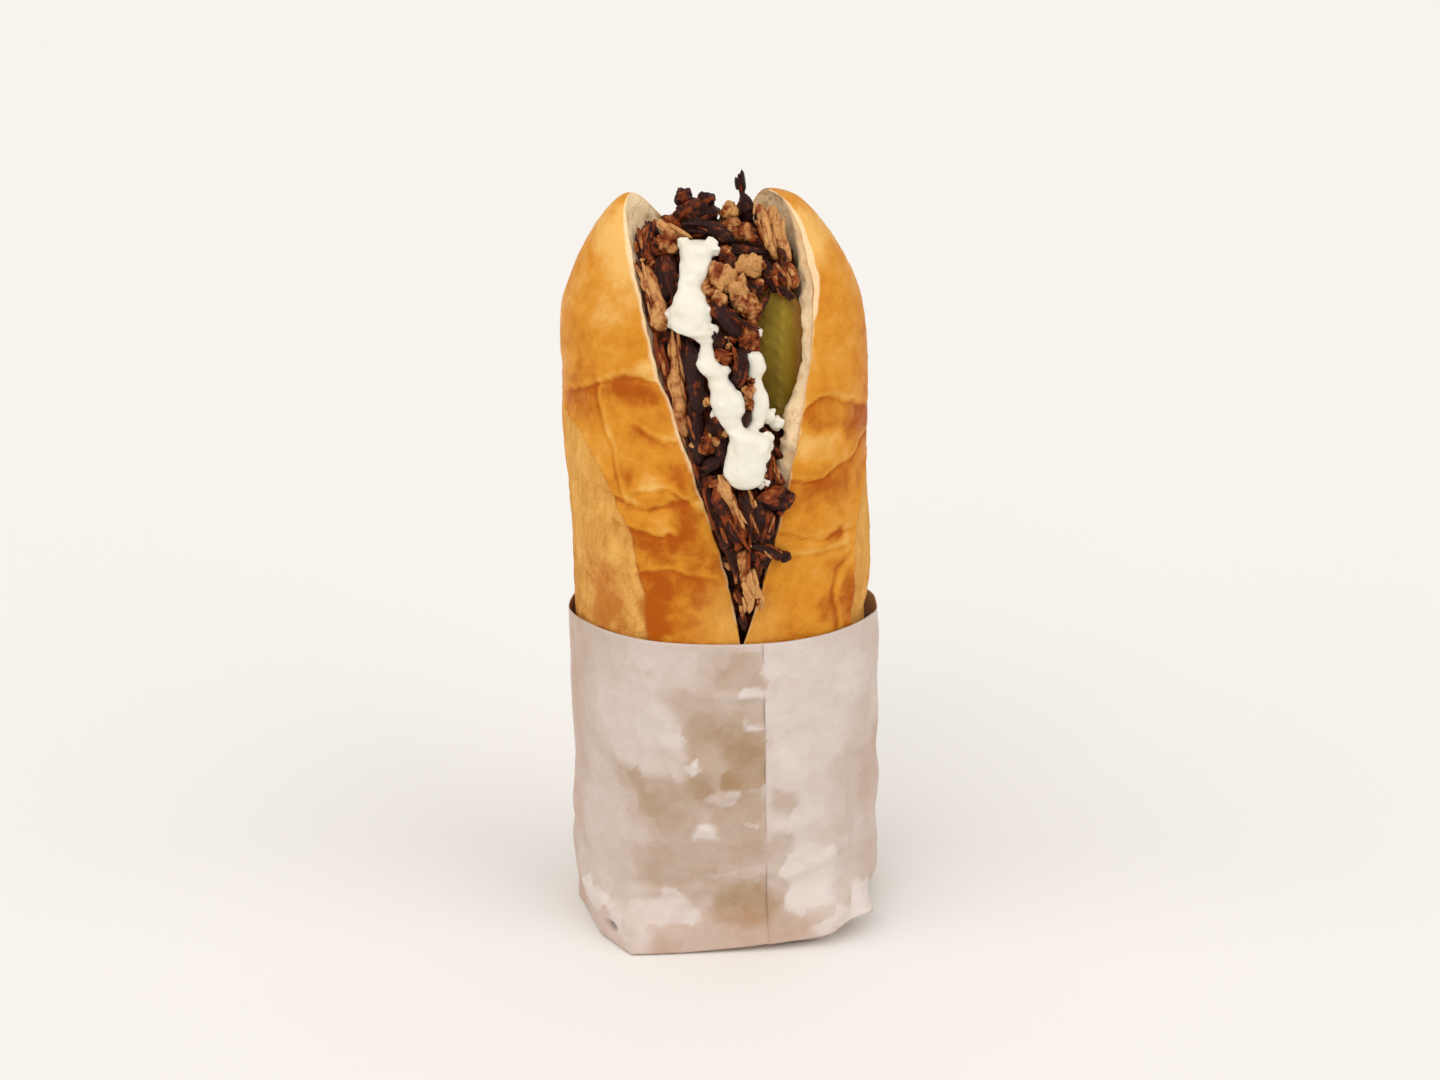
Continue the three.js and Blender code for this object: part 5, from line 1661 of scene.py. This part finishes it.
def paper_material(settings):
    """Thin greaseproof paper: white where it stands clear, beige where it clings to the bread, and warmer
    towards the sides and the foot. Whiter streaks on its folds are partly the paper standing clear and
    partly painted highlight, and the foot's small opening is painted dark as painted shade."""
    material, n = material_nodes("Greaseproof paper", settings)
    place = n.place()
    cling, warm, pocket = n.read("cling", "warm", "pocket")
    clouds, fine = (n.mottle(place, size)["Clouds"] for size in (0.014, 0.004))
    # The grease level also carries the folds' painted highlights.
    grease_and_highlight = n.line(fine, 0.10, n.maths("SUBTRACT", cling, 0.05))
    grease_and_highlight = n.maths("ADD", grease_and_highlight, n.line(clouds, 0.10, -0.05), clamped=True)
    base = n.mix(grease_and_highlight, "white", n.mix(warm, "beige", "warm"))
    # Painted shade inside the small opening in the foot's left corner.
    base = n.mix(n.times(n.between(pocket, 0.4, 1.9), 0.7), base, "shade")
    creases = n.noise(n.stretched(place, (1, 1, 1.4)), 130, 3, 0.6, 0.6)
    sharp = n.maths("ABSOLUTE", n.maths("SUBTRACT", creases, 0.5))
    height = n.line(n.relief(place, 0.0016), 0.12, sharp)
    return finished(
        material, n, base, n.line(grease_and_highlight, -0.14, 0.56), n.bumps(height, 0.0012, 0.4),
        Sheen_Weight=0.05, Specular_IOR_Level=0.3,
    )


def meat_material(settings):
    """Roast meat: charred edges, browned sides and pale cut fibres, moist with fat."""
    material, n = material_nodes("Roast meat", settings)
    (tone,) = n.read("tone")
    grain = n.add("Attribute", attribute_name="grain")["Vector"]
    fibres = n.noise(n.stretched(grain, (1.0, 1.0, 0.16)), 1.7, 5, 0.7, 0.5)
    clouds, small = (n.mottle(grain, size) for size in (3.5, 1.3))
    shade = n.line(clouds["Clouds"], 0.42, n.maths("SUBTRACT", n.line(fibres, 0.75, tone), 0.72))
    shade = n.line(small["Clouds"], 0.28, shade)
    base = n.mix(n.between(shade, 0.0, 0.42), "char", "brown")
    base = n.mix(n.between(shade, 0.38, 0.95), base, "tan")
    base = n.mix(n.times(clouds["Specks"], 0.65), base, "char")
    height = n.line(n.relief(grain, 0.8, 0.15), 0.4, fibres)
    rough = n.between(clouds["Clouds"], 0.0, 1.0, 0.24, 0.55)
    scatter = (0.06, (0.003, 0.001, 0.0006), 0.4)
    return finished(material, n, base, rough, n.bumps(height, 0.0008, 1.0), scatter, Specular_IOR_Level=0.24)


def sauce_material(settings):
    """Thick garlic sauce, white and glossy, a little grainy."""
    material, n = material_nodes("Garlic sauce", settings)
    place = n.place()
    clouds = n.mottle(place, 0.006)["Clouds"]
    base = n.mix(n.times(clouds, 0.14), "sauce", "tan")
    normal = n.bumps(n.relief(place, 0.0018), 0.0005, 0.5)
    scatter = (0.16, (0.003, 0.0026, 0.002), 0.6)
    return finished(material, n, base, n.line(clouds, 0.15, 0.3), normal, scatter)


def gherkin_material(settings):
    """A moist gherkin: olive flesh with paler seeds, and a dark bumpy rind at its rim. Its cut side turns to
    the rind's colour towards the right: the rind at the edge, and painted shade over the right half.
    """
    material, n = material_nodes("Gherkin", settings)
    place = n.place()
    rind, seeds, across = n.read("rind", "seeds", "across")
    clouds = n.mottle(place, 0.008)["Clouds"]
    # Painted shade: the cut side darkens towards the rind's colour over its right half.
    flesh = n.mix(n.between(across, 0.0, 1.0), "flesh", "skin")
    flesh = n.mix(n.times(seeds, 0.2), flesh, "tan")
    flesh = n.mix(n.times(clouds, 0.18), flesh, "skin")
    return finished(
        material, n, n.mix(n.times(rind, 0.8), flesh, "skin"),
        roughness=n.line(clouds, 0.12, 0.18),
        normal=n.bumps(n.relief(place, 0.0016), 0.0004, 0.4),
        scatter=(0.12, (0.003, 0.002, 0.0008), 0.5),
        Coat_Weight=0.04, Coat_Roughness=0.15, Specular_IOR_Level=0.24,
    )


def floor_material(settings):
    """The plain matt floor."""
    material, n = material_nodes("Floor", settings)
    n.put(material.node_tree.nodes["Principled BSDF"], {"Base Color": "floor", "Roughness": 0.8})
    return material


# -------------------------------------------------------------------------------------------------
# Operators: one for each piece or group of like pieces
# -------------------------------------------------------------------------------------------------
SAUCE_VOXEL = 0.34
FLOOR_REACH = 6.0  # metres
SENSOR = 36
AIM_LEFT = 0.26  # the camera looks this far to the left of the middle
SKY_TINT = (1.0, 0.99, 0.98, 1)

# The lights: name, the way to it, degrees across, strength as a share of the main setting, and tint.
LAMPS = [
    ("Main light", (-0.25, -0.85, 0.80), 32, 0.44, (1.0, 0.985, 0.965)),
    ("Right light", (0.85, -0.50, 0.75), 50, 0.60, (1.0, 0.985, 0.97)),
    ("Left light", (-0.85, -0.45, 0.75), 50, 0.54, (1.0, 0.985, 0.97)),
    ("Top light", (0.05, 0.15, 1.00), 60, 0.30, (1.0, 0.98, 0.96)),
]


class SANDWICH_OT_loaf(bpy.types.Operator):
    """Bakes the bread: both halves' crust, the cut crumb and the end inside the paper"""

    bl_idname = "sandwich.loaf"
    bl_label = "Bread"

    def execute(self, context):
        settings = context.scene.sandwich_loaf
        piece = mesh_object("baguette_half", loaf_parts(settings), bread_material(settings))
        hand_over(piece, "bread", "bread_roll")
        return {"FINISHED"}


class SANDWICH_OT_paper(bpy.types.Operator):
    """Wraps the bread's lower half in a sheet of paper and folds it under"""

    bl_idname = "sandwich.paper"
    bl_label = "Paper"

    def execute(self, context):
        settings = context.scene.sandwich_paper
        piece = mesh_object("paper_wrap", paper_parts(settings), paper_material(settings))
        wall = piece.modifiers.new("Thickness", "SOLIDIFY")
        wall.thickness = settings.thickness
        wall.offset = 0
        hand_over(piece, "greaseproof_paper", "paper_sleeve")
        return {"FINISHED"}


class SANDWICH_OT_meat(bpy.types.Operator):
    """Fills the bread with roast meat: a core, the pieces that show best, and loose shreds between them"""

    bl_idname = "sandwich.meat"
    bl_label = "Meat"

    def execute(self, context):
        settings = context.scene.sandwich_filling
        material = meat_material(settings)
        rng = np.random.default_rng(settings.seed)
        hand_over(mesh_object("meat_core", core_parts(), material), "roast_chicken", "shawarma_meat")
        strips = []
        for n, (*places, behind, width, thickness, tone, char) in enumerate(STRIPS):
            path = [in_opening(*place, behind - arch) for place, arch in zip(places, STRIP_ARCH)]
            strips.append(shred(path, width, thickness, tone, n + 1, char=char, twist=rng.normal(0, 25)))
            strips += fibres(path, width, thickness, tone, rng, 3)
        lumps = [
            chunk(in_opening(*place, behind), size, tone, n + 1, turn=(0, 0, turn))
            for n, (place, behind, size, tone, turn) in enumerate(CHUNKS)
        ]
        loose = loose_shreds(settings, np.random.default_rng(settings.seed + 2))
        for name, parts in (("meat_strips", strips), ("meat_lumps", lumps), ("meat_shreds", loose)):
            hand_over(mesh_object(name, parts, material), "roast_chicken")
        return {"FINISHED"}


class SANDWICH_OT_gherkin(bpy.types.Operator):
    """Puts the gherkin slice against the right-hand cut face"""

    bl_idname = "sandwich.gherkin"
    bl_label = "Gherkin"

    def execute(self, context):
        settings = context.scene.sandwich_filling
        piece = mesh_object("gherkin_cut", gherkin_parts(), gherkin_material(settings))
        hand_over(piece, "gherkin", "gherkin_slice")
        return {"FINISHED"}


class SANDWICH_OT_sauce(bpy.types.Operator):
    """Runs the garlic sauce down the opening and makes its dollops one skin"""

    bl_idname = "sandwich.sauce"
    bl_label = "Garlic sauce"

    def execute(self, context):
        settings = context.scene.sandwich_filling
        piece = mesh_object("sauce_dollops", dollop_parts(), sauce_material(settings))
        skin = piece.modifiers.new("One skin", "REMESH")
        skin.mode = "VOXEL"
        skin.voxel_size = SAUCE_VOXEL * MM
        skin.use_smooth_shade = True
        even = piece.modifiers.new("Even", "SMOOTH")
        even.factor = 0.5
        even.iterations = 5
        hand_over(piece, "garlic_sauce", "garlic_sauce")
        return {"FINISHED"}


class SANDWICH_OT_stage(bpy.types.Operator):
    """Sets the floor, the lights and the camera"""

    bl_idname = "sandwich.stage"
    bl_label = "Stage"

    def execute(self, context):
        settings = context.scene.sandwich_stage
        scene = context.scene
        floor_mesh = bpy.data.meshes.new("floor")
        corners = [(x * FLOOR_REACH, y * FLOOR_REACH, 0) for x, y in ((-1, -1), (1, -1), (1, 1), (-1, 1))]
        floor_mesh.from_pydata(corners, [], [(0, 1, 2, 3)])
        floor_mesh.materials.append(floor_material(settings))
        floor = bpy.data.objects.new("floor", floor_mesh)
        scene.collection.objects.link(floor)

        world = bpy.data.worlds.new("Sky")
        world.use_nodes = True
        sky = Nodes(world.node_tree)
        sky.put(world.node_tree.nodes["Background"], {"Color": SKY_TINT, "Strength": settings.sky})
        scene.world = world

        for name, place, spread, strength, tint in LAMPS:
            data = bpy.data.lights.new(name, "SUN")
            data.angle = math.radians(spread)
            data.energy = settings.light * strength
            data.color = tint
            lamp = bpy.data.objects.new(name, data)
            lamp.location = place
            lamp.rotation_mode = "QUATERNION"
            lamp.rotation_quaternion = Vector(place).to_track_quat("Z", "Y")
            scene.collection.objects.link(lamp)

        data = bpy.data.cameras.new("Camera")
        data.lens = settings.lens
        data.sensor_width = SENSOR
        camera = bpy.data.objects.new("Camera", data)
        target = Vector((-CENTRE[0], -CENTRE[1], 0)) * MM + Vector((0, 0, settings.target_height))
        target.x -= AIM_LEFT * MM
        back = Vector((0, -math.cos(settings.camera_height), math.sin(settings.camera_height)))
        camera.location = target + back * settings.camera_distance
        camera.rotation_mode = "QUATERNION"
        camera.rotation_quaternion = (-back).to_track_quat("-Z", "Y")
        scene.collection.objects.link(camera)
        scene.camera = camera
        scene.view_settings.view_transform = "Standard"
        return {"FINISHED"}


class SANDWICH_PT_sidebar(bpy.types.Panel):
    """Lists the sandwich's pieces and what can be changed about them"""

    bl_label = "Shawarma Sandwich"
    bl_idname = "SANDWICH_PT_sidebar"
    bl_space_type = "VIEW_3D"
    bl_region_type = "UI"
    bl_category = "Sandwich"

    def draw(self, context):
        for name, (group, operators) in GROUPS.items():
            box = self.layout.box()
            for operator in operators:
                box.operator(operator.bl_idname)
            for key in group.__annotations__:
                box.prop(getattr(context.scene, name), key)


# Each group of settings, with the operators that read it.
GROUPS = {
    "sandwich_stage": (StageSettings, (SANDWICH_OT_stage,)),
    "sandwich_loaf": (LoafSettings, (SANDWICH_OT_loaf,)),
    "sandwich_paper": (PaperSettings, (SANDWICH_OT_paper,)),
    "sandwich_filling": (FillingSettings, (SANDWICH_OT_meat, SANDWICH_OT_gherkin, SANDWICH_OT_sauce)),
}


def register():
    for name, (group, operators) in GROUPS.items():
        for cls in (group, *operators):
            bpy.utils.register_class(cls)
        setattr(bpy.types.Scene, name, PointerProperty(type=group))
    bpy.utils.register_class(SANDWICH_PT_sidebar)


def unregister():
    bpy.utils.unregister_class(SANDWICH_PT_sidebar)
    for name, (group, operators) in reversed(GROUPS.items()):
        delattr(bpy.types.Scene, name)
        for cls in (*operators, group):
            bpy.utils.unregister_class(cls)


def main():
    register()
    bpy.ops.sandwich.stage()
    bpy.ops.sandwich.loaf()
    bpy.ops.sandwich.paper()
    bpy.ops.sandwich.meat()
    bpy.ops.sandwich.gherkin()
    bpy.ops.sandwich.sauce()


if __name__ == "__main__":
    main()
